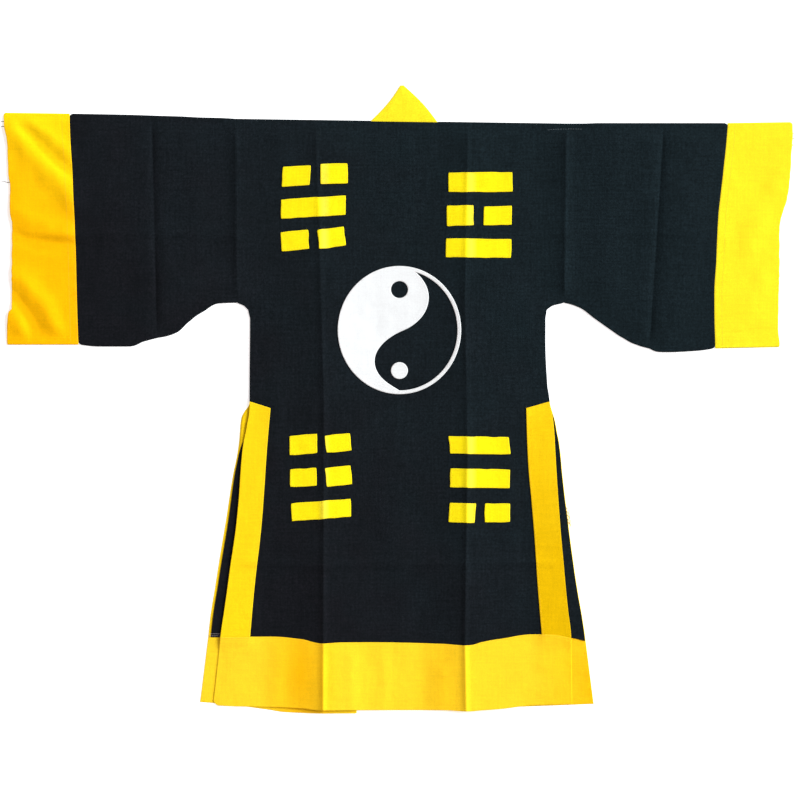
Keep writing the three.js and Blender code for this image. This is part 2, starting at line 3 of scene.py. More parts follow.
import bpy
import numpy as np
from mathutils.geometry import delaunay_2d_cdt
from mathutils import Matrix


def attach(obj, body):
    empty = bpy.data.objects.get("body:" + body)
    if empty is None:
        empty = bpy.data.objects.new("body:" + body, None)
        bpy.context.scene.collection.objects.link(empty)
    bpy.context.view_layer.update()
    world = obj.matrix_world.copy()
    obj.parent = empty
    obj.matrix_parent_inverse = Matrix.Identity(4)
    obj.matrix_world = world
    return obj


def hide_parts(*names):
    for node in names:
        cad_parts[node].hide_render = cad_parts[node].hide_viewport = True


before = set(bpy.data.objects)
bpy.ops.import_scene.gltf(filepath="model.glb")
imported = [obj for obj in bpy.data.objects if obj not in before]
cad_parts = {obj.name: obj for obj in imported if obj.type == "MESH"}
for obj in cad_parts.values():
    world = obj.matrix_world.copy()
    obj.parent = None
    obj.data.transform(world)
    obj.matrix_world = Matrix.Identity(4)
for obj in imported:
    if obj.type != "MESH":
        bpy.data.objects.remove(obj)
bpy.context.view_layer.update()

# A priest's robe with wide sleeves, laid flat with its back up. Tables are in millimetres, in the
# frame's axes: +X to the wearer's right, +Y to the collar, +Z up out of the back. MM turns them
# into metres as each mesh is made.
MM = 0.001

# Cloth thicknesses, gaps, and the levels of the layers
CLOTH = 1.2
APPLIQUE = 1.0
LAYER_GAP = 0.4
SEAM_GAP = 0.3
SEWN_ON = CLOTH + SEAM_GAP
ROLL = CLOTH + LAYER_GAP / 2
FOLD_RADIUS = ROLL - CLOTH / 2
FRONT_LEVEL = CLOTH / 2
BACK_LEVEL = CLOTH + LAYER_GAP + CLOTH / 2
RESTING_GAP = 0.2

# How fine the meshes are: steps along the cloth, extra lines just inside each edge as shares of a
# step, the least space between rows, steps round a fold, how much finer the columns are at a crease,
# and the rounding of an edge
STEP = 5
FINE_STEP = 2.5
APPLIQUE_STEP = 3.5
RIM_LINES = (0.14, 0.45)
RIM_ROWS = len(RIM_LINES) + 1
ROW_GAP = 0.1
FOLD_STEPS = 6
GRADING = 0.72
RIM_THINNING = 0.72
RIM_REACH = 0.3
# Columns between the key lines of each piece
COLUMNS = {
    "back": [36, 64, 42], "front_left": [30, 20], "front_right": [34, 18],
    "hem_back": [46, 64, 48], "hem_front": [44, 16], "band_front": [12], "band_back": [16],
}
# Triangles of the taiji: height of a row and space to the outline, as shares of their size
LATTICE = {"row": 0.87, "clear": 0.45}
SAME_POINT = 1e-5


def table(columns, *rows):
    """Named columns of numbers."""
    return dict(zip(columns.split(), np.array(rows, float).T))


def records(columns, *rows):
    """Rows with named columns, as one dictionary a row."""
    return [dict(zip(columns.split(), row)) for row in rows]


# The way in from each side, along X
INWARD = {"left": 1, "right": -1}

# Shoulder line and neck
SHOULDER = {"left_x": -343, "left_y": 597, "right_x": 358, "right_y": 587}
NECK = {"left": -57, "right": 85}
UNDERARM_Y = 206
SLIT_TOP = -4
HEM_SEAM_Y = -505
HEM_BLEND = 150

# Sides of the body from the underarms to the slits: height, left and right
BODY_SIDES = (
    (206, -341, 354), (198, -324, 326), (185, -316, 316), (163, -313, 314),
    (31, -314, 318), (18, -314, 320), (-4, -314, 323),
)
# Finer rows at the armpits, and where the rows above and below them end
ARMPIT = {"above": 216, "top": 214, "bottom": 160, "below": 156, "rows": 24}

# Sides of the back, down to its hem band and then the band's own ends
BACK_SIDES = table(
    "y left right", *BODY_SIDES,
    (-57, -320, 331.5), (-107, -329, 334.5), (-224, -338, 342), (-355, -355, 353),
    (-449, -368, 362), (-505, -376, 368.5), (-545, -380, 370), (-600, -385.5, 370.5),
    (-649, -391, 370.5),
)

# Sides of the front, which spreads wider than the back below the slits
FRONT_SIDES = table(
    "y left right", *BODY_SIDES,
    (-27, -326, 329), (-43, -332, 334), (-70, -334.5, 339), (-96, -337, 344),
    (-160, -349, 350.5), (-256, -364, 362), (-340, -378, 373), (-404, -388, 382.5),
    (-468, -398, 394), (-505, -402, 399.5), (-560, -409.5, 405.5), (-642, -419, 416.5),
)
# How far the front's slit bands show past its panels
FRONT_RIM = table(
    "y left right",
    (-4, 0, 0), (-43, 17.5, 1.2), (-66, 17.5, 1.2), (-98, 5.6, 1.2), (-130, 3.3, 1.2),
    (-298, 5.5, 1.2), (-505, 5.5, 1.2),
)
# The wide stretch near the top on the left stands up a little
RIM_FLARE = {"height": 2.0, "reach": 9, "top": (-8, -36), "bottom": (-112, -84)}

# Hem bands: the line of the seam, and the back's and the front's bottom edges
HEM = table(
    "x top bottom",
    (-391, -504, -640), (-386, -504, -646), (-378, -504, -649.5), (-288, -503, -652),
    (-205, -508, -655), (-158, -517, -659), (-118, -515, -659), (95, -518, -659),
    (146, -521, -661), (180, -514, -659), (222, -507, -656), (305, -498, -648),
    (372, -506, -647), (397, -512, -646),
)
HEM_FRONT = table(
    "x bottom",
    (-419, -642), (-392, -644), (-275, -658), (-228, -664), (-122, -666), (-87, -666),
    (56, -657), (218, -653), (414, -646),
)
HEM_BAND = {"width": 150, "bottom_y": -650}

# Slit bands: inner edge of the back's, width of the front's, how far their rows slant down inwards,
# and how the front's lift what lies on them
SLIT_BAND_INNER = table(
    "y left right",
    (-18, -270, 273.5), (-110, -278, 276.5), (-213, -285, 284.5), (-298, -292.5, 291.5),
    (-383, -302.5, 297), (-505, -313.5, 306.5),
)
SLIT_BAND_FRONT = 56
SLIT_BAND_SLANT = 14
BAND_RISE = {"full": 62, "none": 84, "above": 35, "below": 40}
FRONT_RISE = {"full": 61, "none": 75, "above": 22}

# Sleeves from the armhole to the cuff: ends of each section on the upper and lower fold
SLEEVES = {
    "left": table(
        "topX topY bottomX bottomY",
        (-343.3, 597, -341.3, 206), (-379, 599, -373, 205), (-420, 600, -411, 188),
        (-458, 602, -445, 164), (-490, 603, -475, 140), (-522, 604, -511, 131),
        (-551, 605, -541, 123), (-590, 606, -575, 113), (-643, 607, -626, 113),
        (-696.7, 608, -677.7, 117),
    ),
    "right": table(
        "topX topY bottomX bottomY",
        (358.3, 587, 354.3, 206), (392, 587, 381, 198), (430, 588, 418, 173),
        (469, 588, 452, 149), (507, 588, 481, 130), (537, 588, 507, 117),
        (566, 588, 534, 109), (600, 588, 566, 101), (651, 588, 622, 103),
        (701.7, 588, 674.7, 109),
    ),
}
# Depth of a flattened sleeve, the section its crease is at, and the rounding of its corners
SLEEVE_DEPTH = 490
SLEEVE_CREASE = {"left": 5, "right": 6}
SLEEVE_CORNER = 8
# Rows of a sleeve, in sections of its table: the step, the finer ones at its crease, and where it
# starts to follow the cuff's seam
SLEEVE_ROWS = {"each": 1 / 8, "crease_reach": 0.25, "crease_rows": 17, "bow": 6.5}

# Cuffs: where the seam and the open edge run, from the upper fold down to the lower one
CUFF_SEAMS = {
    "left": table(
        "y x",
        (608, -697), (552, -695), (509, -692), (467, -690), (424, -688), (382, -686),
        (293, -683), (212, -681), (117, -678),
    ),
    "right": table(
        "y x",
        (588, 702), (541, 698), (504, 694), (467, 690), (424, 685), (382, 681),
        (293, 677), (212, 673), (109, 675),
    ),
}
CUFF_OPENINGS = {
    "left": table(
        "y x",
        (610, -833), (604, -836.5), (590, -836), (546, -829), (467, -825.5), (463, -823),
        (397, -823), (376, -818.5), (293, -819), (192, -819.5), (186, -826.5), (124, -829),
        (117, -828),
    ),
    "right": table(
        "y x",
        (590, 834), (584, 839.5), (560, 839), (531, 837), (427, 827.5), (405, 820.5),
        (382, 814), (359, 811), (278, 811), (216, 809), (148, 808.5), (118, 812), (112, 811),
    ),
}
CUFF_WIDTH = 140
CUFF_CORNERS = {"left": (-837, 610), "right": (838, 590)}
CUFF_FRAY = {"reach": 0.5, "size": 8, "seed": 61}

# Collar band: seams and free edges at the hem, and where its two folds meet on top
COLLAR = {
    "tip_left": 7.5, "tip_right": 11.5, "tip_y": 667.5, "bottom_y": -655, "bow": 5,
    "seam_left": -87, "free_left": -18, "free_right": -13, "seam_right": 56,
}
COLLAR_WIDTH = 70
COLLAR_LEG = {"length": 1250, "step": 8, "tip_from": 0.82}
COLLAR_PUFF = {"height": 1.6, "size": 22, "seed": 41}
NECK_ROWS = 30
NECK_INSET = 3

# Creases from storage: ridges, or valleys where negative. Each has its own height, its reach to the
# left and to the right, the height of the sharp pinch along its line, and the share that is there
# where its path starts.
CREASES = records(
    "height left right pinch start path",
    (8.4, 130, 165, 2.2, 0.4, [(-175, 605), (-165, 318), (-156, -1), (-158, -670)]),
    (7.8, 115, 165, 2.4, 0.5, [(150, 600), (143, 212), (149, -107), (143, -517), (146, -672)]),
    (-1.6, 30, 26, -1.6, 1, [(-522, 614), (-516, 361), (-511, 120)]),
    (-1.8, 26, 30, -1.6, 1, [(566, 598), (556, 424), (534, 95)]),
    (2.2, 24, 52, 0.7, 1, [(-343, 600), (-341, 200)]),
    (3.8, 58, 30, 1.2, 1, [(358, 590), (354, 200)]),
    (1.4, 24, 34, 0.4, 1, [(-850, 354), (-700, 350), (-520, 352), (-345, 349)]),
    (1.0, 26, 22, 0.2, 1, [(360, 352), (560, 354), (690, 351)]),
    (2.0, 18, 24, 0.8, 1, [(-352, -346), (-150, -352), (150, -346), (356, -345)]),
)
BODY_CREASES = {"left": CREASES[0], "right": CREASES[1]}
CREASE_SHARPNESS = 1.9
CREASE_ROUNDING = 0.7
PINCH_REACH = 13

# Soft troughs (negative) and ridges, each Gaussian across its path
FOLDS = records(
    "height width path",
    # left cuff
    (3.4, 16, [(-790, 606), (-741, 562), (-694, 516)]),
    (-3.6, 12, [(-808, 592), (-775, 556), (-745, 524), (-690, 474)]),
    (5.2, 25, [(-834, 588), (-770, 514), (-710, 452), (-684, 408)]),
    (4.4, 24, [(-826, 404), (-790, 383), (-740, 362), (-684, 344)]),
    (-5.2, 12, [(-830, 358), (-786, 337), (-740, 330), (-682, 326)]),
    (5.4, 19, [(-834, 280), (-786, 240), (-746, 194), (-722, 140)]),
    (-5.0, 10, [(-828, 234), (-804, 206), (-778, 166), (-760, 112)]),
    (4.6, 18, [(-838, 204), (-800, 146), (-790, 110)]),
    (1.2, 10, [(-806, 128), (-800, 108)]),
    # right cuff
    (1.6, 26, [(806, 470), (752, 352), (742, 300)]),
    (1.4, 24, [(790, 270), (738, 180)]),
    (-1.4, 30, [(720, 560), (800, 400)]),
    (-0.8, 7, [(690, 138), (808, 150)]),
    # sleeves
    (3.6, 70, [(-522, 640), (-516, 361), (-511, 90)]),
    (3.6, 70, [(566, 630), (556, 424), (534, 70)]),
    (1.8, 38, [(-640, 600), (-600, 420), (-640, 200)]),
    (1.4, 30, [(-440, 590), (-420, 380), (-450, 220)]),
    (1.7, 40, [(640, 580), (616, 400), (600, 150)]),
    (1.4, 30, [(470, 560), (440, 380), (450, 200)]),
    (1.2, 16, [(-330, 236), (-400, 260), (-470, 232)]),
    (1.2, 16, [(340, 236), (400, 262), (476, 240)]),
    # pull of the neck and the shoulders
    (1.0, 14, [(-50, 580), (-30, 520)]),
    (1.1, 12, [(18, 582), (24, 500)]),
    (0.9, 13, [(70, 572), (58, 510)]),
    (1.4, 22, [(-260, 575), (-240, 480)]),
    (1.3, 24, [(268, 560), (250, 440)]),
    # skirt and hem
    (1.6, 20, [(196, -662), (268, -600), (330, -566)]),
    (1.2, 14, [(-100, -540), (-96, -662)]),
    (1.3, 15, [(-34, -510), (-26, -600), (-30, -662)]),
    (-1.0, 16, [(50, -500), (48, -662)]),
    (1.2, 18, [(96, -560), (92, -662)]),
    (1.3, 16, [(-255, -520), (-262, -655)]),
    (1.6, 30, [(-20, -250), (10, -420), (4, -500)]),
    (1.4, 26, [(-262, 60), (-250, -180), (-256, -420)]),
    (1.4, 24, [(250, 40), (240, -200), (246, -430)]),
)
FOLD_TAPER = 24

# Slow waves all over, and a small crumple, from random grids with this many cells a side
WAVE_CELLS = 64
WAVE = {"height": 1.3, "size": 105, "seed": 11}
CRUMPLE = {"height": 0.3, "size": 24, "seed": 23}
UNEVEN = {"share": 0.25, "size": 130, "seed": 5}
FLAT_FADE = 42
SLIT_LIFT = {"height": 0.3, "reach": 90}
CUFF_GAPE = {"height": 0.8, "reach": 60}
SLIT_EDGE = {"share": 0.25, "reach": 60}
HEM_ENDS = {"reach": 28, "drop": 0.28}
HEM_STEP = {"inner": (6, -4), "down": (26, 0)}
CUFF_EDGE = {"share": 0.6, "reach": 40}
UNDER_SHARE = 0.4
SOFT_FLOOR = 0.6

# Taiji: a white disc whose dark half and hole are cut away, and the dot in the dark half
TAIJI = {
    "x": 4, "y": 148, "radius_x": 130.7, "radius_y": 135.8, "ring": 7.3, "tail_x": 32,
    "hole_y": 86, "hole_radius": 18.3, "dot_y": -86, "dot_radius": 17.6,
}
# The line between the halves, up from the foot of the ring: two handles and the end of each curve
TAIJI_LINE = table(
    "x1 y1 x2 y2 x y",
    (-12, -120, -53, -103, -53, -66),
    (-53, -38, -24, -14, 6, -1.5),
    (34, 10, 62, 34, 62, 70),
    (62, 90, 51, 108, 34, 123.4),
)
# Points of each outline, and the stitches' distance from it, with breaks where they leave the cloth
TAIJI_POINTS = {"rim": 200, "ring": 110, "curve": 22, "circle": 48, "dot_line": 40}
TAIJI_RUNS = {"inset": 1.6, "break": 12, "least": 4}

# Trigram bars: centre, size, and the angles of the long and short sides in degrees
BARS = records(
    "name x y width height tilt lean",
    ("kan_1", -215, 475, 61, 43, 3.3, -4.6),
    ("kan_2", -135, 480, 59, 44, 1.2, 1),
    ("kan_3", -179, 409, 139, 42, 3.5, -0.6),
    ("kan_4", -218, 338, 60, 42, 5.1, 2.9),
    ("kan_5", -140, 344, 58, 42, 8.3, 6.2),
    ("li_1", 176, 462, 138, 43, 0.4, 0.2),
    ("li_2", 133, 391, 58, 44, 1.4, 0.3),
    ("li_3", 213, 391, 61, 41, 2.2, -1.5),
    ("li_4", 172, 322, 140, 41, -0.5, -1.2),
    ("zhen_1", -200, -95, 60, 42, 5.5, 0.9),
    ("zhen_2", -126, -92, 55, 38, 5.3, 6.3),
    ("zhen_3", -200, -165, 58, 39, 3.2, 0.6),
    ("zhen_4", -125, -162, 56, 41, 6.6, 5.5),
    ("zhen_5", -162, -234, 128, 39, 4.6, 1.7),
    ("xun_1", 174, -97, 129, 38, -0.9, 6.4),
    ("xun_2", 175, -167, 128, 41, -1.2, -1.9),
    ("xun_3", 137, -240, 57, 43, -1.6, -4.3),
    ("xun_4", 212, -240, 55, 41, 0.8, -0.6),
)
BAR_WOBBLE = {"reach": 0.65, "size": 16, "shift": 500, "seed": 31}
BAR_TURNING = {"width": 1.8, "height": 1.4}
BAR_CORNER = {"pull": 1.1, "power": 8}
BAR_OUTLINE = ((-1, -1), (1, -1), (1, 1), (-1, 1), (-1, -1))

# Stitches. Each ring round one has its place along it and its share of the width. Then come the
# seams' distances from an edge, and two short rows of their own.
STITCH = {"pitch": 3.4, "length": 2.5, "width": 0.55}
STITCH_SIDES = 5
STITCH_RINGS = ((-0.34, 0.8), (0.0, 1.0), (0.34, 0.8))
STITCH_INSET = 2.4
CUFF_TURNING = 16
SHOULDER_STITCH = {"pitch": 5.2, "length": 3.6}
TAIJI_STITCH = {"pitch": 2.6, "length": 2.0}
SHOULDER_STITCHES = [(318, 573.4), (346, 574.8), (372, 575.2), (392, 574.9)]
STRIP_STITCHES = [[(-404, -497), (-376, -497)], [(-403, -501.5), (-376, -501.5)]]

# Threads that hang loose, each through its own points, thinner at the tip
THREAD_SIDES = 6
THREAD_TIP = 0.5
TUFT_WIDTH = 1.6
LOOSE_WIDTH = 1.8
SLIT_TUFT = [
    [(357, -228, 0.8), (361, -231, 1.6), (364, -237, 1.8), (365, -243, 0.8)],
    [(358, -236, 0.8), (363, -240, 1.8), (366, -249, 1.6), (366.5, -257, 0.8)],
    [(359, -244, 0.8), (363.5, -247, 1.4), (367, -256, 1.4), (369, -262, 0.8)],
    [(360, -252, 0.8), (364, -256, 1.8), (367.5, -265, 1.2), (368, -270, 0.8)],
    [(360, -260, 0.8), (365, -262, 1.2), (368.5, -268, 0.8)],
]
LOOSE_THREADS = {
    "left": [
        [(-822, 462.5, 2.4), (-828, 461.5, 2.9), (-835, 463.5, 2.2), (-842, 465, 1.2)],
        [(-834, 591, 2.2), (-838.5, 591, 2.4), (-843, 592, 1.4)],
        [(-834, 580, 2.2), (-839, 581, 2.6), (-843, 580, 1.4)],
    ],
    "right": [
        [(838, 566, 2.2), (841, 566.5, 2.4), (844, 565.4, 1.2)],
        [(838, 555, 2.2), (842, 554.5, 2.2), (844.5, 556, 1.0)],
        [(838, 541, 2.2), (841.5, 541.6, 2.4), (844, 540.4, 1.2)],
    ],
}

# Looks of the cloths: the thread's pitch, the depth of the shifts in tone, and the relief, in metres.
# The gaps' share is painted shade in the weave's gaps; the other shifts in tone differ at random.
BLACK_LOOKS = {
    "pitch": 0.0007, "mottle": 0.1, "slub": 0.18, "gaps": 0.35, "grain": 0.36, "fibre": 0.3,
    "crumple": 0.0006, "thread": 0.00012, "roughness": 0.9, "specular": 0.12,
    "sheen": 0.05, "sheen_tint": (0.5, 0.9, 1.0),
}
YELLOW_LOOKS = {
    "pitch": 0.0008, "mottle": 0.022, "slub": 0.03, "gaps": 0.18, "grain": 0.03, "fibre": 0.03,
    "crumple": 0.0006, "thread": 0.00014, "roughness": 0.8, "specular": 0.12,
    "sheen": 0.05, "sheen_tint": (1.0, 0.8, 0.05),
}
WHITE_LOOKS = {
    "pitch": 0.0006, "mottle": 0.01, "slub": 0.012, "gaps": 0.1, "grain": 0.012, "fibre": 0.015,
    "crumple": 0.0003, "thread": 0.0001, "roughness": 0.8, "specular": 0.25,
    "sheen": 0.05, "sheen_tint": (1.0, 1.0, 1.0),
}
SHEEN_ROUGHNESS = 0.5
THREAD_LOOKS = {"shades": (0.75, 1.1), "roughness": 0.6, "sheen": 0.1}

# Noises of the materials: cycles a metre, detail and roughness. The slubs' are stretched.
NOISES = {
    "mottle": (7.0, 3.0, 0.55), "slub": (1.0, 2.0, 0.55), "grain": (210.0, 2.0, 0.55),
    "fibre": (480.0, 2.0, 0.55), "crumple": (55.0, 3.0, 0.5), "border": (9.0, 2.0, 0.55),
    "twist": (1500.0, 1.0, 0.55),
}
NOISE_RANGE = (0.3, 0.7)
SLUB_SCALES = ((260.0, 14.0, 1.0), (14.0, 260.0, 1.0))
BORDER_REACH = 0.15
# Drift of the threads in the weave: cycles a metre, detail, and share of the pitch
JITTER = {"scale": 160.0, "detail": 1.0, "share": 0.5}
# Weave height below which the painted shade in the gaps is full
GAP_DEPTH = 0.2

# Linear colours of the cloths. Some of them are painted light and shade, as said above each.
# Painted light: black darker and purpler to the left, brighter and tealer to the lit right
BLACK_SHADED_LEFT = (0.0057, 0.0055, 0.0076)
BLACK_LIT_RIGHT = (0.0058, 0.0118, 0.0150)
# Painted shade: deeper gold for yellow cloth where it lies in shade
SHADE_GOLD = (0.99, 0.56, 0.002)
# Painted shade: amber for the right slit band where it tilts away from the light
SHADE_AMBER = (0.76, 0.52, 0.002)
YELLOW = (0.99, 0.75, 0.010)
HEM_YELLOW = (0.99, 0.74, 0.024)
LEMON = (0.99, 0.915, 0.008)
# Painted highlight: paler, whiter lemon along the crests of the creases
HIGHLIGHT_LEMON = (0.99, 0.93, 0.09)
# Painted light: the left cuff's lemon where the light falls on it
LIT_CUFF_LEMON = (0.99, 0.80, 0.006)
PALE_LEMON = (0.99, 0.915, 0.022)
WHITE = (0.79, 0.925, 0.93)
YELLOW_THREAD = (0.95, 0.6, 0.02)
WHITE_THREAD = (0.85, 0.86, 0.85)
GREY_THREAD = (0.20, 0.27, 0.30)
BROWN_THREAD = (0.09, 0.05, 0.015)

# Two places, in metres, between which a cloth goes from its first colour to its second, and spots of
# the second, each with its place, its size each way and its share. They paint light and shade onto
# the cloth.
# Painted light across the robe, from its shaded left to its lit upper right
PAINTED_LIGHT_ACROSS = ((-0.25, -0.35), (0.44, 0.08))
# Painted shade on the hem: gold towards its right end, and in spots on the flanks left of its creases
HEM_SHADE_FADE = ((0.27, 0), (0.46, 0))
HEM_SHADE_SPOTS = [((-0.205, -0.58), (0.09, 0.24), 0.9), ((0.1, -0.6), (0.07, 0.24), 0.4)]
# Painted light on the left cuff: gold in shade at its lower left, lemon lit at its upper right and top
# fold
CUFF_LIGHT_FADE = ((-0.80, 0.40), (-0.68, 0.66))
CUFF_HIGHLIGHT_SPOTS = [((-0.77, 0.615), (0.3, 0.032), 0.8)]
# The bars' fade lies off the robe; their spots are painted highlights, thin strips just right of the
# creases
BAR_FADE = ((1, 0), (2, 0))
BAR_HIGHLIGHT_SPOTS = [((-0.155, 0.2), (0.013, 1.2), 0.8), ((0.157, 0.1), (0.013, 1.2), 0.75)]
# Painted shade on the right slit band, deeper amber down from its top
BAND_SHADE_FADE = ((0.3, 0.05), (0.3, -0.34))

# Camera, floor and lights, in metres
VIEW = {"x": 0.0053, "y": -0.0005, "width": 1.7, "distance": 7.0, "sensor": 0.036, "far": 100}
FLOOR = {"size": 30, "colour": (0.84, 0.96, 0.97), "glow": 0.5}
SUN = {"strength": 5.4, "softness": 38, "elevation": 24, "azimuth": 22, "colour": (1.06, 1.0, 1.02)}
ROOM = {"strength": 0.4, "colour": (1.27, 0.97, 0.95)}


# Curves, waves and distances

def mix(a, b, part):
    return a + (b - a) * part


def ramp(value, none, full):
    """How far a value has gone from where something is absent (0) to where it is full (1)."""
    part = np.clip((value - none) / (full - none), 0, 1)
    return part * part * (3 - 2 * part)


def curve(rows, key, column, value):
    """A column of a table at any value of its key, on a smooth curve that never swings past a row."""
    keys, heights = rows[key], rows[column]
    if keys[0] > keys[-1]:
        keys, heights = keys[::-1], heights[::-1]
    gaps = np.diff(keys)
    slopes = np.diff(heights) / gaps
    same_way = slopes[:-1] * slopes[1:] > 0
    total = np.where(same_way, slopes[:-1] + slopes[1:], 1)
    inner = np.where(same_way, 2 * slopes[:-1] * slopes[1:] / total, 0)
    tangents = np.concatenate([slopes[:1], inner, slopes[-1:]])
    i = np.clip(np.searchsorted(keys, value) - 1, 0, len(gaps) - 1)
    t = np.clip((value - keys[i]) / gaps[i], 0, 1)
    start = heights[i] + t * gaps[i] * tangents[i]
    end = heights[i + 1] - (1 - t) * gaps[i] * tangents[i + 1]
    return mix(start, end, t * t * (3 - 2 * t))


def waves(x, y, size, seed):
    """Smooth random waves from -1 to 1, about one size across."""
    lattice = np.random.default_rng(seed).uniform(-1, 1, (WAVE_CELLS, WAVE_CELLS))
    u, v = np.asarray(x) / size, np.asarray(y) / size
    i, j = np.floor(u).astype(int), np.floor(v).astype(int)
    across, up = [f**3 * (f * (f * 6 - 15) + 10) for f in (u - i, v - j)]
    left, right = i % WAVE_CELLS, (i + 1) % WAVE_CELLS
    low, high = [
        mix(lattice[left, row], lattice[right, row], across)
        for row in (j % WAVE_CELLS, (j + 1) % WAVE_CELLS)
    ]
    return mix(low, high, up)


def beside(path, x, y):
    """Distance from a path, whether that is on its left, the length gone, and the whole length."""
    path = np.asarray(path, float)
    nearest = np.full(np.shape(x), np.inf)
    on_left = np.zeros(np.shape(x), bool)
    gone = np.zeros(np.shape(x))
    start = 0
    for (ax, ay), (bx, by) in zip(path[:-1], path[1:]):
        dx, dy = bx - ax, by - ay
        length = math.hypot(dx, dy)
        part = np.clip(((x - ax) * dx + (y - ay) * dy) / length**2, 0, 1)
        distance = np.hypot(x - ax - part * dx, y - ay - part * dy)
        closer = distance < nearest
        nearest = np.where(closer, distance, nearest)
        on_left = np.where(closer, dx * (y - ay) - dy * (x - ax) > 0, on_left)
        gone = np.where(closer, start + part * length, gone)
        start += length
    return nearest, on_left, gone, start


# The lie of the cloth

def back_edge(side, y):
    """X of the back's side at a height, from the shoulder to the hem's bottom edge."""
    straight = mix(
        SHOULDER[side + "_x"], BACK_SIDES[side][0],
        (SHOULDER[side + "_y"] - y) / (SHOULDER[side + "_y"] - UNDERARM_Y),
    )
    return np.where(y > UNDERARM_Y, straight, curve(BACK_SIDES, "y", side, y))


def front_edge(side, y):
    return np.where(y > UNDERARM_Y, back_edge(side, y), curve(FRONT_SIDES, "y", side, y))


def shoulder_y(x):
    part = (x - SHOULDER["left_x"]) / (SHOULDER["right_x"] - SHOULDER["left_x"])
    return mix(SHOULDER["left_y"], SHOULDER["right_y"], part)


def folded_edges():
    """The edges where the back and the front are one cloth or sewn together."""
    left, right = SLEEVES["left"], SLEEVES["right"]
    top = list(zip(left["topX"][::-1], left["topY"][::-1])) + list(zip(right["topX"], right["topY"]))
    edges = [[CUFF_CORNERS["left"], *top, CUFF_CORNERS["right"]]]
    for side, rows in SLEEVES.items():
        corner = (CUFF_CORNERS[side][0], CUFF_OPENINGS[side]["y"][-1])
        below = zip(rows["bottomX"][::-1], rows["bottomY"][::-1])
        body = list(zip(BACK_SIDES[side], BACK_SIDES["y"]))[:len(BODY_SIDES)]
        edges.append([corner, *below, *body])
    return edges


FOLDED_EDGES = folded_edges()


def flatness(x, y):
    """0 at a folded or sewn edge, where both layers lie flat, and 1 away from them."""
    nearest = np.minimum.reduce([beside(path, x, y)[0] for path in FOLDED_EDGES])
    return ramp(nearest, 0, FLAT_FADE)


def relief(x, y):
    """Height of the upper layer's creases, folds and waves above its flat level."""
    height = WAVE["height"] * (1 + waves(x, y, WAVE["size"], WAVE["seed"])) / 2
    height = height + CRUMPLE["height"] * waves(x, y, CRUMPLE["size"], CRUMPLE["seed"])
    uneven = 1 + UNEVEN["share"] * waves(x, y, UNEVEN["size"], UNEVEN["seed"])
    for crease in CREASES:
        distance, on_left, gone, length = beside(crease["path"], x, y)
        reach = np.where(on_left, crease["right"], crease["left"])
        soft = np.sqrt(distance**2 + CREASE_ROUNDING**2) - CREASE_ROUNDING
        broad = np.clip(1 - soft / reach, 0, 1) ** CREASE_SHARPNESS
        sharp = np.clip(1 - soft / PINCH_REACH, 0, 1) ** CREASE_SHARPNESS
        grown = mix(crease["start"], 1, gone / length)
        height = height + (crease["height"] * broad + crease["pinch"] * sharp) * uneven * grown
    for fold in FOLDS:
        distance, on_left, gone, length = beside(fold["path"], x, y)
        taper = ramp(np.minimum(gone, length - gone), -FOLD_TAPER, FOLD_TAPER)
        height = height + fold["height"] * np.exp(-((distance / fold["width"]) ** 2)) * taper * uneven
    height = (height + np.sqrt(height**2 + SOFT_FLOOR**2)) / 2
    for side, sign in INWARD.items():
        inward = sign * (x - curve(CUFF_OPENINGS[side], "y", "x", y))
        height = height * mix(CUFF_EDGE["share"], 1, ramp(inward, 0, CUFF_EDGE["reach"]))
        height = height + CUFF_GAPE["height"] * ramp(inward, CUFF_GAPE["reach"], 0)
    below_slit = ramp(y, SLIT_TOP + SLIT_EDGE["reach"], SLIT_TOP - SLIT_EDGE["reach"])
    held = (1 - SLIT_EDGE["share"]) * below_slit * ramp(from_side(x, y), SLIT_EDGE["reach"], 0)
    return height * flatness(x, y) * (1 - held)


def from_side(x, y):
    """Distance in from the nearer side of the back."""
    return np.minimum(x - back_edge("left", y), back_edge("right", y) - x)


def slit_lift(x, y):
    """The back's free edges along the slits lift a little off the front."""
    below_slit = ramp(y, SLIT_TOP, SLIT_TOP - SLIT_LIFT["reach"])
    above_hem = ramp(y, HEM_SEAM_Y, HEM_SEAM_Y + SLIT_LIFT["reach"])
    return SLIT_LIFT["height"] * ramp(from_side(x, y), SLIT_LIFT["reach"], 0) * below_slit * above_hem


def hem_seam(x):
    return curve(HEM, "x", "top", x)


def band_rise(x, y):
    """How far the front's slit bands, underneath, lift the back."""
    below_slit = ramp(y, SLIT_TOP + BAND_RISE["above"], SLIT_TOP)
    above_hem = ramp(hem_seam(x) - y, BAND_RISE["below"], 0)
    return SEWN_ON * ramp(from_side(x, y), BAND_RISE["none"], BAND_RISE["full"]) * below_slit * above_hem


def back_height(x, y):
    """Middle of the back panel's cloth."""
    return BACK_LEVEL + band_rise(x, y) + slit_lift(x, y) + relief(x, y)


def hem_height(x, y):
    """Middle of the back hem band, which rises to the ends of the slit bands above it."""
    inner = np.minimum(x - SLIT_BAND_INNER["left"][-1], SLIT_BAND_INNER["right"][-1] - x)
    down = hem_seam(x) - y
    reach = HEM_ENDS["reach"]
    settled = ramp(from_side(x, y), reach, 0) * ramp(down, reach / 2, reach)
    step = SEWN_ON * ramp(inner, *HEM_STEP["inner"]) * ramp(down, *HEM_STEP["down"])
    return back_height(x, y) + step - settled * (relief(x, y) + HEM_ENDS["drop"])


def sewn_height(x, y):
    """Middle of cloth sewn on the back panel."""
    return back_height(x, y) + (CLOTH + APPLIQUE) / 2 + RESTING_GAP


def band_height(x, y):
    return back_height(x, y) + CLOTH + RESTING_GAP


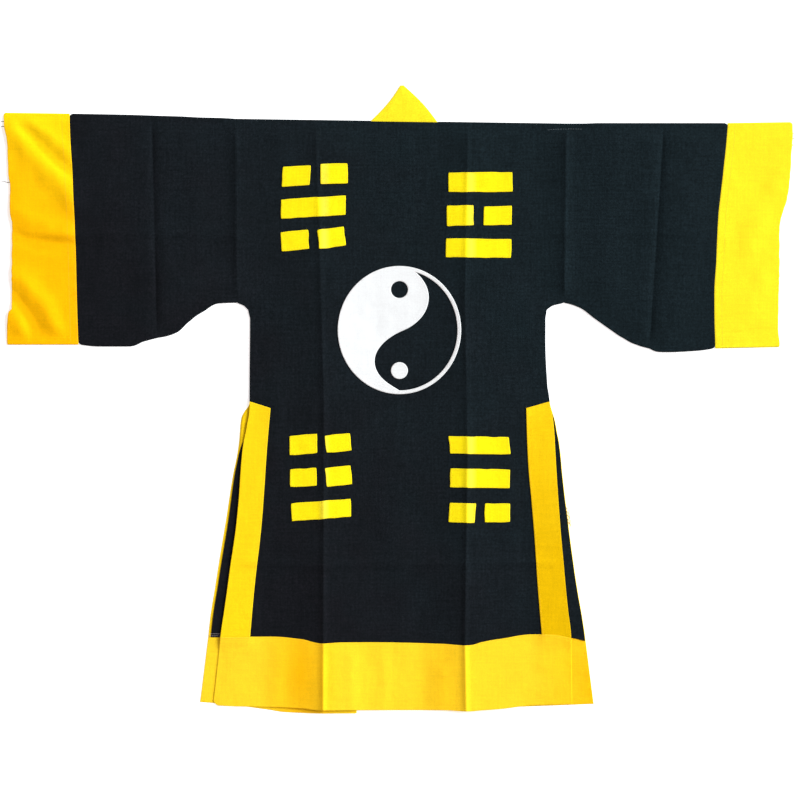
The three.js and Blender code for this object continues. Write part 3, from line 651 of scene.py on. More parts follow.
def upper_height(x, y):
    """Middle of the upper layer of a sleeve or cuff."""
    return ROLL + FOLD_RADIUS + relief(x, y)


def lower_height(x, y):
    """Middle of the layer on the surface, which the creases lift less."""
    return FRONT_LEVEL + UNDER_SHARE * np.maximum(relief(x, y) - WAVE["height"], 0)


def front_height(x, y):
    """Middle of a front panel, which lies over the front's slit bands."""
    inward = np.minimum(x - front_edge("left", y), front_edge("right", y) - x)
    below_slit = ramp(y, SLIT_TOP + FRONT_RISE["above"], SLIT_TOP)
    rise = SEWN_ON * ramp(inward, FRONT_RISE["none"], FRONT_RISE["full"]) * below_slit
    return lower_height(x, y) + rise


def flat_height(x, y):
    return np.full(np.shape(x), FRONT_LEVEL)


# Meshes of cloth

def with_rims(parts):
    """The same steps, with finer ones just inside both ends."""
    first, last = parts[1] - parts[0], parts[-1] - parts[-2]
    start = [parts[0] + first * share for share in RIM_LINES]
    end = [parts[-1] - last * share for share in reversed(RIM_LINES)]
    return np.concatenate([parts[:1], start, parts[1:-1], end, parts[-1:]])


def steps(stops, size):
    """Values through all the stops, about one size apart, and finer at both ends."""
    values = []
    for start, end in zip(stops[:-1], stops[1:]):
        count = max(1, round(abs(end - start) / size))
        values.extend(np.linspace(start, end, count, endpoint=False))
    return with_rims(np.array([*values, stops[-1]]))


def shares(length, size=STEP):
    """Shares of a length from 0 to 1, about one size apart, and finer at both ends."""
    return steps([0, length], size) / length


def graded(count):
    """Steps from 0 to 1 without the last, finer at both ends."""
    even = np.arange(count) / count
    return even - GRADING * np.sin(2 * math.pi * even) / (2 * math.pi)


def ruled(keys, counts):
    """Points in rows that run straight from each key line to the next. A key line has a point a row."""
    keys = np.stack(keys, axis=1)
    parts = np.concatenate([i + graded(count) for i, count in enumerate(counts)])
    parts = with_rims(np.append(parts, len(counts)))
    low = np.minimum(parts.astype(int), len(counts) - 1)
    share = (parts - low)[None, :, None]
    return mix(keys[:, low], keys[:, low + 1], share)


def line(*axes):
    """Points from their coordinates, such as the X and Y of a key line."""
    return np.stack(np.broadcast_arrays(*axes), axis=-1).astype(float)


def raised(flat, height):
    """Points with the height that a function gives."""
    z = height(flat[..., 0], flat[..., 1])
    return np.concatenate([flat, z[..., None]], axis=-1)


def grid_faces(rows, columns, loop=False):
    spans = columns if loop else columns - 1
    row, column = np.meshgrid(np.arange(rows - 1), np.arange(spans), indexing="ij")
    a = row * columns + column
    b = row * columns + (column + 1) % columns
    return np.stack([a, b, b + columns, a + columns], axis=-1).reshape(-1, 4)


def face_normals(points, faces):
    corners = points[faces]
    if faces.shape[1] == 4:
        return np.cross(corners[:, 2] - corners[:, 0], corners[:, 3] - corners[:, 1]) / 2
    return np.cross(corners[:, 1] - corners[:, 0], corners[:, 2] - corners[:, 0]) / 2


def unit(vectors):
    return vectors / np.maximum(np.linalg.norm(vectors, axis=-1, keepdims=True), 1e-9)


def rim_edges(faces):
    """Edges that only one face has, in that face's direction."""
    pairs = np.concatenate([
        np.stack([faces[:, i], faces[:, (i + 1) % faces.shape[1]]], axis=1)
        for i in range(faces.shape[1])
    ])
    size = faces.max() + 1
    forward = pairs[:, 0] * size + pairs[:, 1]
    back = pairs[:, 1] * size + pairs[:, 0]
    return pairs[~np.isin(forward, back)]


def shell(points, faces, thickness):
    """Cloth of this thickness on a middle surface, closed, with its free edges rounded."""
    count = len(points)
    normals = np.zeros_like(points)
    own = face_normals(points, faces)
    for i in range(faces.shape[1]):
        np.add.at(normals, faces[:, i], own)
    normals = unit(normals)
    edges = rim_edges(faces)
    along = points[edges[:, 1]] - points[edges[:, 0]]
    outward = unit(np.cross(along, normals[edges].mean(axis=1)))
    push = np.zeros_like(points)
    np.add.at(push, edges[:, 0], outward)
    np.add.at(push, edges[:, 1], outward)
    rim = np.unique(edges)
    half = np.full((count, 1), thickness / 2)
    half[rim] *= RIM_THINNING
    middle = points[rim] + unit(push[rim]) * thickness * RIM_REACH
    place = np.zeros(count, int)
    place[rim] = 2 * count + np.arange(len(rim))
    a, b = edges[:, 0], edges[:, 1]
    sides = np.concatenate([
        np.stack([b, a, place[a], place[b]], axis=1),
        np.stack([place[b], place[a], a + count, b + count], axis=1),
    ])
    vertices = np.concatenate([points + normals * half, points - normals * half, middle])
    return vertices, [faces, faces[:, ::-1] + count, sides]


def new_object(name, vertices, face_groups, material):
    mesh = bpy.data.meshes.new(name)
    polygons = [polygon for group in face_groups for polygon in group.tolist()]
    mesh.from_pydata((vertices * MM).tolist(), [], polygons)
    mesh.shade_smooth()
    mesh.materials.append(material)
    made = bpy.data.objects.new(name, mesh)
    bpy.context.scene.collection.objects.link(made)
    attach(made, "root")
    return made


def flat_cut(points, faces, around):
    """Width, length and area of the piece before it was sewn and laid out."""
    laid = points * (1, 1, 0)
    area = np.abs(face_normals(laid, faces)[:, 2]).sum()
    width, length = np.ptp(points[:, :2], axis=0)
    return (width * MM, length * around * MM), area * MM * MM


def strip_cut(rows):
    """Mean width and length of a strip, from its rows of points across it."""
    edges = rows[:, 0], rows[:, -1]
    length = np.mean([np.linalg.norm(np.diff(edge, axis=0), axis=1).sum() for edge in edges])
    x, y = np.concatenate([edges[0], edges[1][::-1]]).T
    area = abs(np.dot(x, np.roll(y, -1)) - np.dot(y, np.roll(x, -1))) / 2
    return area / length * MM, length * MM


def cloth(node, points, faces, material, rests_on, thickness=CLOTH, around=1, flat=None, sewing=()):
    """One piece of cloth that stands for a node of the frame."""
    vertices, groups = shell(points, faces, thickness)
    made = new_object("cloth_" + node, vertices, groups, material)
    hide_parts(node)
    size, area = flat_cut(points, faces, around) if flat is None else (flat, None)
    return made


def cloth_grid(node, grid, material, rests_on, loop=False, **options):
    rows, columns = grid.shape[:2]
    faces = grid_faces(rows, columns, loop)
    return cloth(node, grid.reshape(-1, 3), faces, material, rests_on, **options)


# Materials

def set_inputs(tree, node, inputs):
    """Give a node's sockets their values, or link them to what they take them from."""
    for socket, value in inputs.items():
        if isinstance(value, bpy.types.NodeSocket):
            tree.links.new(value, node.inputs[socket])
        else:
            node.inputs[socket].default_value = value


def add_node(tree, kind, inputs, **settings):
    made = tree.nodes.new(kind)
    for key, value in settings.items():
        setattr(made, key, value)
    set_inputs(tree, made, inputs)
    return made


def new_material(name):
    """A material, its node tree and its shader."""
    material = bpy.data.materials.new(name)
    material.use_nodes = True
    tree = material.node_tree
    return material, tree, tree.nodes["Principled BSDF"]


def object_coordinates(tree):
    return add_node(tree, "ShaderNodeTexCoord", {}).outputs["Object"]


def math_node(tree, operation, a, b=0.0):
    return add_node(tree, "ShaderNodeMath", {0: a, 1: b}, operation=operation).outputs[0]


def vector_math(tree, operation, inputs, output="Vector"):
    return add_node(tree, "ShaderNodeVectorMath", inputs, operation=operation).outputs[output]


def noise(tree, coordinates, kind):
    scale, detail, roughness = NOISES[kind]
    inputs = {"Vector": coordinates, "Scale": scale, "Detail": detail, "Roughness": roughness}
    return add_node(tree, "ShaderNodeTexNoise", inputs).outputs["Fac"]


def remap(tree, value, low, high, to_low, to_high):
    inputs = {"Value": value, "From Min": low, "From Max": high, "To Min": to_low, "To Max": to_high}
    return add_node(tree, "ShaderNodeMapRange", inputs).outputs["Result"]


def bump(tree, height, distance, **normal):
    inputs = {"Height": height, "Strength": 1.0, "Distance": distance}
    return add_node(tree, "ShaderNodeBump", inputs | normal).outputs["Normal"]


def stretched(tree, coordinates, scale):
    return add_node(tree, "ShaderNodeMapping", {"Vector": coordinates, "Scale": scale}).outputs["Vector"]


def weave(tree, coordinates, pitch):
    """Height of a plain weave, 0 in the gaps and 1 on the threads."""
    jitter = add_node(tree, "ShaderNodeTexNoise", {
        "Vector": coordinates, "Scale": JITTER["scale"], "Detail": JITTER["detail"],
    }).outputs["Color"]
    drift = (pitch * JITTER["share"],) * 3
    moved = vector_math(tree, "MULTIPLY_ADD", {0: jitter, 1: drift, 2: coordinates})
    split = add_node(tree, "ShaderNodeSeparateXYZ", {0: moved})
    across, along = [
        math_node(tree, "SINE", math_node(tree, "MULTIPLY", split.outputs[axis], math.pi / pitch))
        for axis in ("X", "Y")
    ]
    over = math_node(tree, "GREATER_THAN", math_node(tree, "MULTIPLY", across, along), 0.0)
    warp, weft = [
        math_node(tree, "SQRT", math_node(tree, "ABSOLUTE", part)) for part in (across, along)
    ]
    return add_node(tree, "ShaderNodeMix", {"Factor": over, "A": weft, "B": warp}).outputs["Result"]


def blend_along(tree, coordinates, start, end):
    """0 at the start and 1 at the end, two places in metres, with an uneven border."""
    start, end = np.array([*start, 0.0]), np.array([*end, 0.0])
    step = end - start
    from_start = vector_math(tree, "SUBTRACT", {0: coordinates, 1: start.tolist()})
    direction = (step / step.dot(step)).tolist()
    part = vector_math(tree, "DOT_PRODUCT", {0: from_start, 1: direction}, "Value")
    uneven = noise(tree, coordinates, "border")
    border = remap(tree, uneven, *NOISE_RANGE, -BORDER_REACH, BORDER_REACH)
    return remap(tree, math_node(tree, "ADD", part, border), 0.0, 1.0, 0.0, 1.0)


def spot(tree, coordinates, place, size):
    """1 at a place, fading to 0 at a size each way, in metres."""
    scale = (1 / size[0], 1 / size[1], 0.0)
    shift = (-place[0] / size[0], -place[1] / size[1], 0.0)
    apart = vector_math(tree, "MULTIPLY_ADD", {0: coordinates, 1: scale, 2: shift})
    return remap(tree, vector_math(tree, "LENGTH", {0: apart}, "Value"), 0.0, 1.0, 1.0, 0.0)


def uneven_by(tree, value, amount):
    """A factor about 1 that a noise varies by an amount either way."""
    return remap(tree, value, *NOISE_RANGE, 1 - amount, 1 + amount)


def cloth_material(name, slot, colours, ends, looks, spots=()):
    """Woven cloth. Its colour goes from the first to the second between two places, and in spots,
    each with its place, its size each way and its share of the second colour.
    """
    material, tree, shader = new_material(name)
    material["slot"] = slot
    coordinates = object_coordinates(tree)
    threads = weave(tree, coordinates, looks["pitch"])

    part = blend_along(tree, coordinates, *ends)
    for place, size, share in spots:
        tint = math_node(tree, "MULTIPLY", spot(tree, coordinates, place, size), share)
        part = math_node(tree, "ADD", part, tint)
    base = add_node(
        tree, "ShaderNodeMix", {"Factor": part, "A": (*colours[0], 1), "B": (*colours[1], 1)},
        data_type="RGBA",
    ).outputs[2]
    # Painted shade: darker in the weave's gaps
    shade = remap(tree, threads, GAP_DEPTH, 1.0, 1 - looks["gaps"], 1.0)
    parts = [("mottle", coordinates)]
    parts += [("slub", stretched(tree, coordinates, scale)) for scale in SLUB_SCALES]
    parts += [("grain", coordinates), ("fibre", coordinates)]
    for kind, place in parts:
        uneven = uneven_by(tree, noise(tree, place, kind), looks[kind])
        shade = math_node(tree, "MULTIPLY", shade, uneven)

    creased = bump(tree, noise(tree, coordinates, "crumple"), looks["crumple"])
    set_inputs(tree, shader, {
        "Base Color": vector_math(tree, "SCALE", {0: base, "Scale": shade}),
        "Roughness": looks["roughness"],
        "Specular IOR Level": looks["specular"],
        "Specular Tint": (*looks["sheen_tint"], 1),
        "Sheen Weight": looks["sheen"],
        "Sheen Roughness": SHEEN_ROUGHNESS,
        "Sheen Tint": (*looks["sheen_tint"], 1),
        "Normal": bump(tree, threads, looks["thread"], Normal=creased),
    })
    return material


def thread_material(name, slot, colour):
    """Twisted sewing thread, striped across its length."""
    material, tree, shader = new_material(name)
    material["slot"] = slot
    twist = noise(tree, object_coordinates(tree), "twist")
    shade = remap(tree, twist, *NOISE_RANGE, *THREAD_LOOKS["shades"])
    set_inputs(tree, shader, {
        "Base Color": vector_math(tree, "SCALE", {0: colour, "Scale": shade}),
        "Roughness": THREAD_LOOKS["roughness"],
        "Sheen Weight": THREAD_LOOKS["sheen"],
    })
    return material


def yellow_material(name, colours, ends=PAINTED_LIGHT_ACROSS, spots=()):
    return cloth_material(name, "yellow_cloth", colours, ends, YELLOW_LOOKS, spots)


# Black cloth with painted light, darker to the left and brighter to the right
black = cloth_material("black_cloth", "black_cloth", (BLACK_SHADED_LEFT, BLACK_LIT_RIGHT), PAINTED_LIGHT_ACROSS, BLACK_LOOKS)
# Hem with painted shade at its right end and left of its creases
shaded_hem_yellow = yellow_material("hem_cloth_painted_shade", (HEM_YELLOW, SHADE_GOLD), HEM_SHADE_FADE, HEM_SHADE_SPOTS)
yellow = yellow_material("yellow_cloth", (YELLOW, YELLOW))
# Left cuff, with painted shade and painted highlight
lit_and_shaded_cuff = yellow_material("cuff_cloth_painted_light", (SHADE_GOLD, LIT_CUFF_LEMON), CUFF_LIGHT_FADE, CUFF_HIGHLIGHT_SPOTS)
# Bars, with painted highlights along the creases
lemon_with_highlights = yellow_material("lemon_cloth_painted_highlight", (LEMON, HIGHLIGHT_LEMON), BAR_FADE, BAR_HIGHLIGHT_SPOTS)
pale = yellow_material("pale_cloth", (PALE_LEMON, PALE_LEMON))
shaded = yellow_material("shaded_cloth", (YELLOW, SHADE_AMBER), BAND_SHADE_FADE)
white = cloth_material("white_cloth", "white_cloth", (WHITE, WHITE), PAINTED_LIGHT_ACROSS, WHITE_LOOKS)
yellow_thread = thread_material("yellow_thread", "yellow_cloth", YELLOW_THREAD)
white_thread = thread_material("white_thread", "white_cloth", WHITE_THREAD)
grey_thread = thread_material("grey_thread", "black_cloth", GREY_THREAD)
brown_thread = thread_material("brown_thread", "yellow_cloth", BROWN_THREAD)


# Floor

def make_floor():
    material, tree, shader = new_material("pale_floor")
    set_inputs(tree, shader, {
        "Base Color": (*FLOOR["colour"], 1),
        "Roughness": 1.0,
        "Specular IOR Level": 0.0,
        "Emission Color": (1, 1, 1, 1),
        "Emission Strength": FLOOR["glow"],
    })
    bpy.ops.mesh.primitive_plane_add(size=FLOOR["size"], location=(0, 0, 0))
    made = bpy.context.object
    made.name = "floor"
    made.data.materials.append(material)
    return made


floor = make_floor()


# Stitches and threads

def resampled(path, pitch):
    """Points along a path, one pitch apart, with the path's direction at each."""
    path = np.asarray(path, float)
    lengths = np.linalg.norm(np.diff(path, axis=0), axis=1)
    gone = np.concatenate([[0], np.cumsum(lengths)])
    count = max(1, int(gone[-1] / pitch))
    at = (np.arange(count) + 0.5) * gone[-1] / count
    points = line(*[np.interp(at, gone, path[:, axis]) for axis in (0, 1)])
    part = np.clip(np.searchsorted(gone, at) - 1, 0, len(lengths) - 1)
    return points, unit(np.diff(path, axis=0))[part]


def stitches(name, paths, height, material, pitch=STITCH["pitch"], length=STITCH["length"]):
    """A row of stitches along each path, each a small bead of thread half sunk in the cloth."""
    sampled = [resampled(path, pitch) for path in paths]
    centres, along = [np.concatenate(parts) for parts in zip(*sampled)]
    ends = [centres + along * length * sign / 2 for sign in (-1, 1)]
    start, end = [raised(points, height) for points in ends]
    axis = end - start
    middle = (start + end) / 2
    side = unit(np.column_stack([-along[:, 1], along[:, 0], np.zeros(len(along))]))
    up = unit(np.cross(axis, side))
    radius = STITCH["width"] / 2
    angles = np.arange(STITCH_SIDES) * 2 * math.pi / STITCH_SIDES
    parts = [middle - axis / 2]
    for place, size in STITCH_RINGS:
        for angle in angles:
            out = side * math.cos(angle) + up * math.sin(angle)
            parts.append(middle + axis * place + out * radius * size)
    parts.append(middle + axis / 2)
    vertices = np.stack(parts, axis=1)
    per_stitch = vertices.shape[1]
    tip = per_stitch - 1
    last = tip - STITCH_SIDES
    quads, caps = [], []
    for i in range(STITCH_SIDES):
        j = (i + 1) % STITCH_SIDES
        for low in range(1, last, STITCH_SIDES):
            high = low + STITCH_SIDES
            quads.append([low + i, low + j, high + j, high + i])
        caps += [[0, 1 + j, 1 + i], [tip, last + i, last + j]]
    offsets = np.arange(len(centres))[:, None, None] * per_stitch
    groups = [(np.array(kind)[None] + offsets).reshape(-1, len(kind[0])) for kind in (quads, caps)]
    return new_object(name, vertices.reshape(-1, 3), groups, material)


def threads(name, routes, material, width):
    """Loose threads, each a thin tube along its own points."""
    angles = np.arange(THREAD_SIDES) * 2 * math.pi / THREAD_SIDES
    vertices, groups, start = [], [], 0
    for route in routes:
        route = np.array(route, float)
        along = unit(np.gradient(route, axis=0))
        side = unit(np.cross(along, (0, 0, 1)))
        up = np.cross(side, along)
        taper = np.linspace(1, THREAD_TIP, len(route))[:, None, None]
        out = side[:, None] * np.cos(angles)[:, None] + up[:, None] * np.sin(angles)[:, None]
        vertices.append((route[:, None] + out * taper * width / 2).reshape(-1, 3))
        cap = np.arange(THREAD_SIDES)[None] + start
        groups += [
            grid_faces(len(route), THREAD_SIDES, loop=True) + start,
            cap[:, ::-1], cap + (len(route) - 1) * THREAD_SIDES,
        ]
        start += len(route) * THREAD_SIDES
    return new_object(name, np.concatenate(vertices), groups, material)


def on_top(height, thickness):
    """Where stitches lie on cloth of that middle height."""
    return lambda x, y: height(x, y) + thickness / 2


# Body

def body_rows():
    """Heights of the rows at their left ends, from the shoulder to the hem's seam."""
    above = steps([SHOULDER["left_y"], ARMPIT["above"]], STEP)
    armpit = np.linspace(ARMPIT["top"], ARMPIT["bottom"], ARMPIT["rows"])
    below = steps([ARMPIT["below"], SLIT_TOP, HEM_SEAM_Y], STEP)
    return np.concatenate([above[:-RIM_ROWS], armpit, below[RIM_ROWS:]])


def right_end(left_y):
    """Height of a row's right end. Rows tilt with the shoulder line above the underarms."""
    part = (left_y - UNDERARM_Y) / (SHOULDER["left_y"] - UNDERARM_Y)
    return left_y + (SHOULDER["right_y"] - SHOULDER["left_y"]) * np.clip(part, 0, 1)


def row_y(x, left_y):
    """Height of a row at a place along it."""
    right_y = right_end(left_y)
    left_x, right_x = back_edge("left", left_y), back_edge("right", right_y)
    return mix(left_y, right_y, (x - left_x) / (right_x - left_x))


def row_line(x, left_y):
    return line(x, row_y(x, left_y))


def crease_x(side, y):
    path = np.array(BODY_CREASES[side]["path"], float)
    return np.interp(-y, -path[:, 1], path[:, 0])


def to_hem_seam(flat):
    """Rows straight across, bent over the last stretch to follow the hem's seam."""
    x, y = flat[..., 0], flat[..., 1]
    part = np.clip((HEM_SEAM_Y + HEM_BLEND - y) / HEM_BLEND, 0, 1) ** 2
    return line(x, y + (hem_seam(x) - HEM_SEAM_Y) * part)


def back_panel():
    y = body_rows()
    keys = [
        row_line(back_edge("left", y), y),
        row_line(crease_x("left", y), y),
        row_line(crease_x("right", y), y),
        row_line(back_edge("right", right_end(y)), y),
    ]
    flat = to_hem_seam(ruled(keys, COLUMNS["back"]))
    flat[0, :, 1] -= ROLL + SEAM_GAP
    highest = flat[0, :, 1] - np.arange(1, len(flat))[:, None] * ROW_GAP
    flat[1:, :, 1] = np.minimum(flat[1:, :, 1], highest)
    fragment = stitches(
        "stitches_shoulder", [SHOULDER_STITCHES], on_top(back_height, CLOTH), grey_thread,
        **SHOULDER_STITCH,
    )
    rests_on = ["cloth_front_panel_" + side for side in INWARD]
    cloth_grid("back_panel", raised(flat, back_height), black, rests_on, sewing=[fragment])


def collar_corner(side):
    """Where a fold of the collar band starts at the neck."""
    x = NECK[side] + INWARD[side] * ROLL
    return np.array([x, shoulder_y(x) - ROLL])


def collar_seam(side, y):
    corner = collar_corner(side)
    return mix(corner[0], COLLAR["seam_" + side], (corner[1] - y) / (corner[1] - COLLAR["bottom_y"]))


def front_panel(side):
    sign = INWARD[side]
    y = body_rows()
    edge_y = y if side == "left" else right_end(y)
    edge = front_edge(side, edge_y) + sign * curve(FRONT_RIM, "y", side, edge_y)
    seam = collar_seam(side, row_y(0, y)) - sign * SEAM_GAP
    seam[0] = NECK[side] - sign * SEAM_GAP
    keys = [row_line(x, y) for x in (edge, crease_x(side, y), seam)]
    flat = to_hem_seam(ruled(keys, COLUMNS["front_" + side]))
    shoulder_x, highest = flat[0, :, 0], flat[0, :, 1] - ROLL
    flat[1:, :, 1] = np.minimum(flat[1:, :, 1], highest - SEAM_GAP)
    angles = np.linspace(math.pi / 2, -math.pi / 2, FOLD_STEPS + 1)[:, None]
    out, up = np.cos(angles) * FOLD_RADIUS, np.sin(angles) * FOLD_RADIUS
    fold = line(shoulder_x, highest + out, ROLL + up)
    grid = np.concatenate([fold, raised(flat[RIM_ROWS:], front_height)])
    rests_on = [floor, "cloth_slit_band_front_" + side]
    sewing = []
    if side == "left":
        top = on_top(front_height, CLOTH)
        sewing.append(stitches("stitches_strip", STRIP_STITCHES, top, white_thread))
    cloth_grid("front_panel_" + side, grid, black, rests_on, sewing=sewing)


def slit_band_rows():
    """Heights of a slit band's rows at its outer edge, and how far down each is at its inner edge."""
    y = steps([SLIT_TOP, HEM_SEAM_Y], STEP)
    return y, SLIT_BAND_SLANT * (y - HEM_SEAM_Y) / (SLIT_TOP - HEM_SEAM_Y)


def slit_band_front(side):
    y, slant = slit_band_rows()
    outer = front_edge(side, y)
    inner = outer + INWARD[side] * SLIT_BAND_FRONT
    flat = ruled([line(outer, y), line(inner, y - slant)], COLUMNS["band_front"])
    grid = raised(to_hem_seam(flat), flat_height)
    sewing = []
    if side == "left":
        inward = np.clip((grid[..., 0] - outer[:, None]) / RIM_FLARE["reach"], 0, 1)
        flare = RIM_FLARE["height"] * ramp(y, *RIM_FLARE["top"]) * ramp(y, *RIM_FLARE["bottom"])
        grid[..., 2] += flare[:, None] * np.sin(math.pi * inward)
    else:
        sewing.append(threads("threads_slit", SLIT_TUFT, yellow_thread, TUFT_WIDTH))
    name = "slit_band_front_" + side
    cloth_grid(name, grid, yellow, [floor], flat=strip_cut(flat), sewing=sewing)


def slit_band_back(side, material):
    y, slant = slit_band_rows()
    inner = curve(SLIT_BAND_INNER, "y", side, y - slant)
    keys = [line(back_edge(side, y), y), line(inner, y - slant)]
    flat = to_hem_seam(ruled(keys, COLUMNS["band_back"]))
    seams = [
        flat[0, RIM_ROWS:-RIM_ROWS] - (0, STITCH_INSET),
        flat[RIM_ROWS + 1:, -1] - (INWARD[side] * STITCH_INSET, 0),
    ]
    sewing = stitches("stitches_slit_" + side, seams, on_top(band_height, CLOTH), yellow_thread)
    cloth_grid(
        "slit_band_back_" + side, raised(flat, band_height), material, ["cloth_back_panel"],
        flat=strip_cut(flat), sewing=[sewing],
    )


def hem_grid(keys_at, counts, rows):
    """Points of a hem band, in rows from its seam down to its bottom edge."""
    parts = shares(HEM_BAND["width"])
    tops, bottoms = keys_at(HEM_SEAM_Y), keys_at(HEM_BAND["bottom_y"])
    flat = ruled([line(mix(a, b, parts), parts) for a, b in zip(tops, bottoms)], counts)
    x = flat[..., 0]
    return line(x, mix(hem_seam(x) - SEAM_GAP, curve(rows, "x", "bottom", x), flat[..., 1]))


def hem_back():
    def keys_at(y):
        creases = [crease_x(side, y) for side in INWARD]
        return [back_edge("left", y), *creases, back_edge("right", y)]

    flat = hem_grid(keys_at, COLUMNS["hem_back"], HEM)
    seam = flat[0, 1:-1] - (0, STITCH_INSET)
    sewing = stitches("stitches_hem", [seam], on_top(hem_height, CLOTH), yellow_thread)
    rests_on = ["cloth_hem_front_" + side for side in INWARD]
    cloth_grid(
        "hem_back", raised(flat, hem_height), shaded_hem_yellow, rests_on,
        flat=strip_cut(flat.swapaxes(0, 1)), sewing=[sewing],
    )


def hem_front(side):
    def keys_at(y):
        seam = collar_seam(side, y) - INWARD[side] * SEAM_GAP
        return [front_edge(side, y), crease_x(side, y), seam]

    flat = hem_grid(keys_at, COLUMNS["hem_front"], HEM_FRONT)
    cloth_grid(
        "hem_front_" + side, raised(flat, lower_height), shaded_hem_yellow, [floor],
        flat=strip_cut(flat.swapaxes(0, 1)),
    )


# Sleeves and cuffs

def tube(node, lines, material, sewing=()):
    """A flattened tube, open at both ends. Each line runs from its upper fold to its lower one."""
    down = unit(lines[:, -1:] - lines[:, :1])
    centres = lines.copy()
    centres[:, :1] += down * ROLL
    centres[:, -1:] -= down * ROLL
    angles = (math.pi * np.arange(1, FOLD_STEPS) / FOLD_STEPS)[None, :, None]

    def turn(centre, sign):
        flat = centre + down * np.sin(angles) * FOLD_RADIUS * sign
        z = np.broadcast_to(ROLL + np.cos(angles) * FOLD_RADIUS * sign, flat[..., :1].shape)
        return np.concatenate([flat, z], axis=-1)

    grid = np.concatenate([
        raised(centres, upper_height), turn(centres[:, -1:], 1),
        raised(centres[:, ::-1], lower_height), turn(centres[:, :1], -1),
    ], axis=1)
    cloth_grid(node, grid, material, [floor], loop=True, around=2, sewing=sewing)


def down_line(rows, part):
    """A cuff's seam or opening, from its upper fold to its lower one."""
    y = mix(rows["y"][0], rows["y"][-1], part)
    return line(curve(rows, "y", "x", y), y)


TUBE_PARTS = shares(SLEEVE_DEPTH)


def sleeve(side):
    count = len(SLEEVES[side]["topX"])
    rows = SLEEVES[side] | {"section": np.arange(float(count))}
    reach = SLEEVE_ROWS["crease_reach"]
    fine = SLEEVE_CREASE[side] + np.linspace(-reach, reach, SLEEVE_ROWS["crease_rows"])
    section = np.unique(np.concatenate([steps(range(count), SLEEVE_ROWS["each"]), fine]))
    top, bottom = [
        line(*[curve(rows, "section", end + axis, section) for axis in "XY"])[:, None]
        for end in ("top", "bottom")
    ]
    across = TUBE_PARTS[None, :, None]
    lines = mix(top, bottom, across)
    bow = down_line(CUFF_SEAMS[side], TUBE_PARTS) + (INWARD[side] * SEAM_GAP, 0) - lines[-1]
    lines = lines + bow[None] * ramp(section, SLEEVE_ROWS["bow"], count - 1)[:, None, None]
    from_seam = np.minimum(np.abs(lines[:, 0, 0] - lines[-1, 0, 0]), SLEEVE_CORNER)[:, None, None]
    pull = SLEEVE_CORNER - np.sqrt(SLEEVE_CORNER**2 - (SLEEVE_CORNER - from_seam) ** 2)
    down = unit(lines[:, -1:] - lines[:, :1])
    tube("sleeve_" + side, lines + down * pull * (1 - 2 * across), black)


def cuff(side, material):
    seam, opening = [down_line(rows[side], TUBE_PARTS) for rows in (CUFF_SEAMS, CUFF_OPENINGS)]
    y = opening[:, 1]
    opening[:, 0] += CUFF_FRAY["reach"] * waves(y, 0 * y, CUFF_FRAY["size"], CUFF_FRAY["seed"])
    lines = mix(seam[None], opening[None], shares(CUFF_WIDTH)[:, None, None])
    seams = [
        seam[RIM_ROWS:-RIM_ROWS] - (INWARD[side] * inset, 0) for inset in (STITCH_INSET, CUFF_TURNING)
    ]
    sewing = stitches("stitches_cuff_" + side, seams, on_top(upper_height, CLOTH), yellow_thread)
    loose = threads("threads_cuff_" + side, LOOSE_THREADS[side], brown_thread, LOOSE_WIDTH)
    tube("cuff_" + side, lines, material, sewing=[sewing, loose])


# Collar band

def collar_side(side):
    """Rows across the band, from the hem up one front edge and round the fold at the neck."""
    corner = collar_corner(side)
    tip = np.array([COLLAR["tip_" + side], COLLAR["tip_y"]])
    bottom_y = COLLAR["bottom_y"]
    part = shares(COLLAR_LEG["length"], COLLAR_LEG["step"])
    seam_y = mix(bottom_y, corner[1], part)
    free_y = seam_y + (tip[1] - corner[1]) * ramp(part, COLLAR_LEG["tip_from"], 1)
    free_x = mix(COLLAR["free_" + side], tip[0], (free_y - bottom_y) / (tip[1] - bottom_y))
    leg = np.stack([
        line(collar_seam(side, seam_y), seam_y, FRONT_LEVEL),
        line(free_x, free_y, FRONT_LEVEL),
    ], axis=1)
    away = unit(np.array([corner[1] - tip[1], tip[0] - corner[0]]) * INWARD[side])
    fold = []
    for angle in np.linspace(-math.pi / 2, math.pi / 2, FOLD_STEPS + 1)[1:]:
        up = ROLL + math.sin(angle) * FOLD_RADIUS
        shift = np.append(away * math.cos(angle) * FOLD_RADIUS, up)
        fold.append([np.append(point, 0) + shift for point in (corner, tip)])
    return np.concatenate([leg, fold])


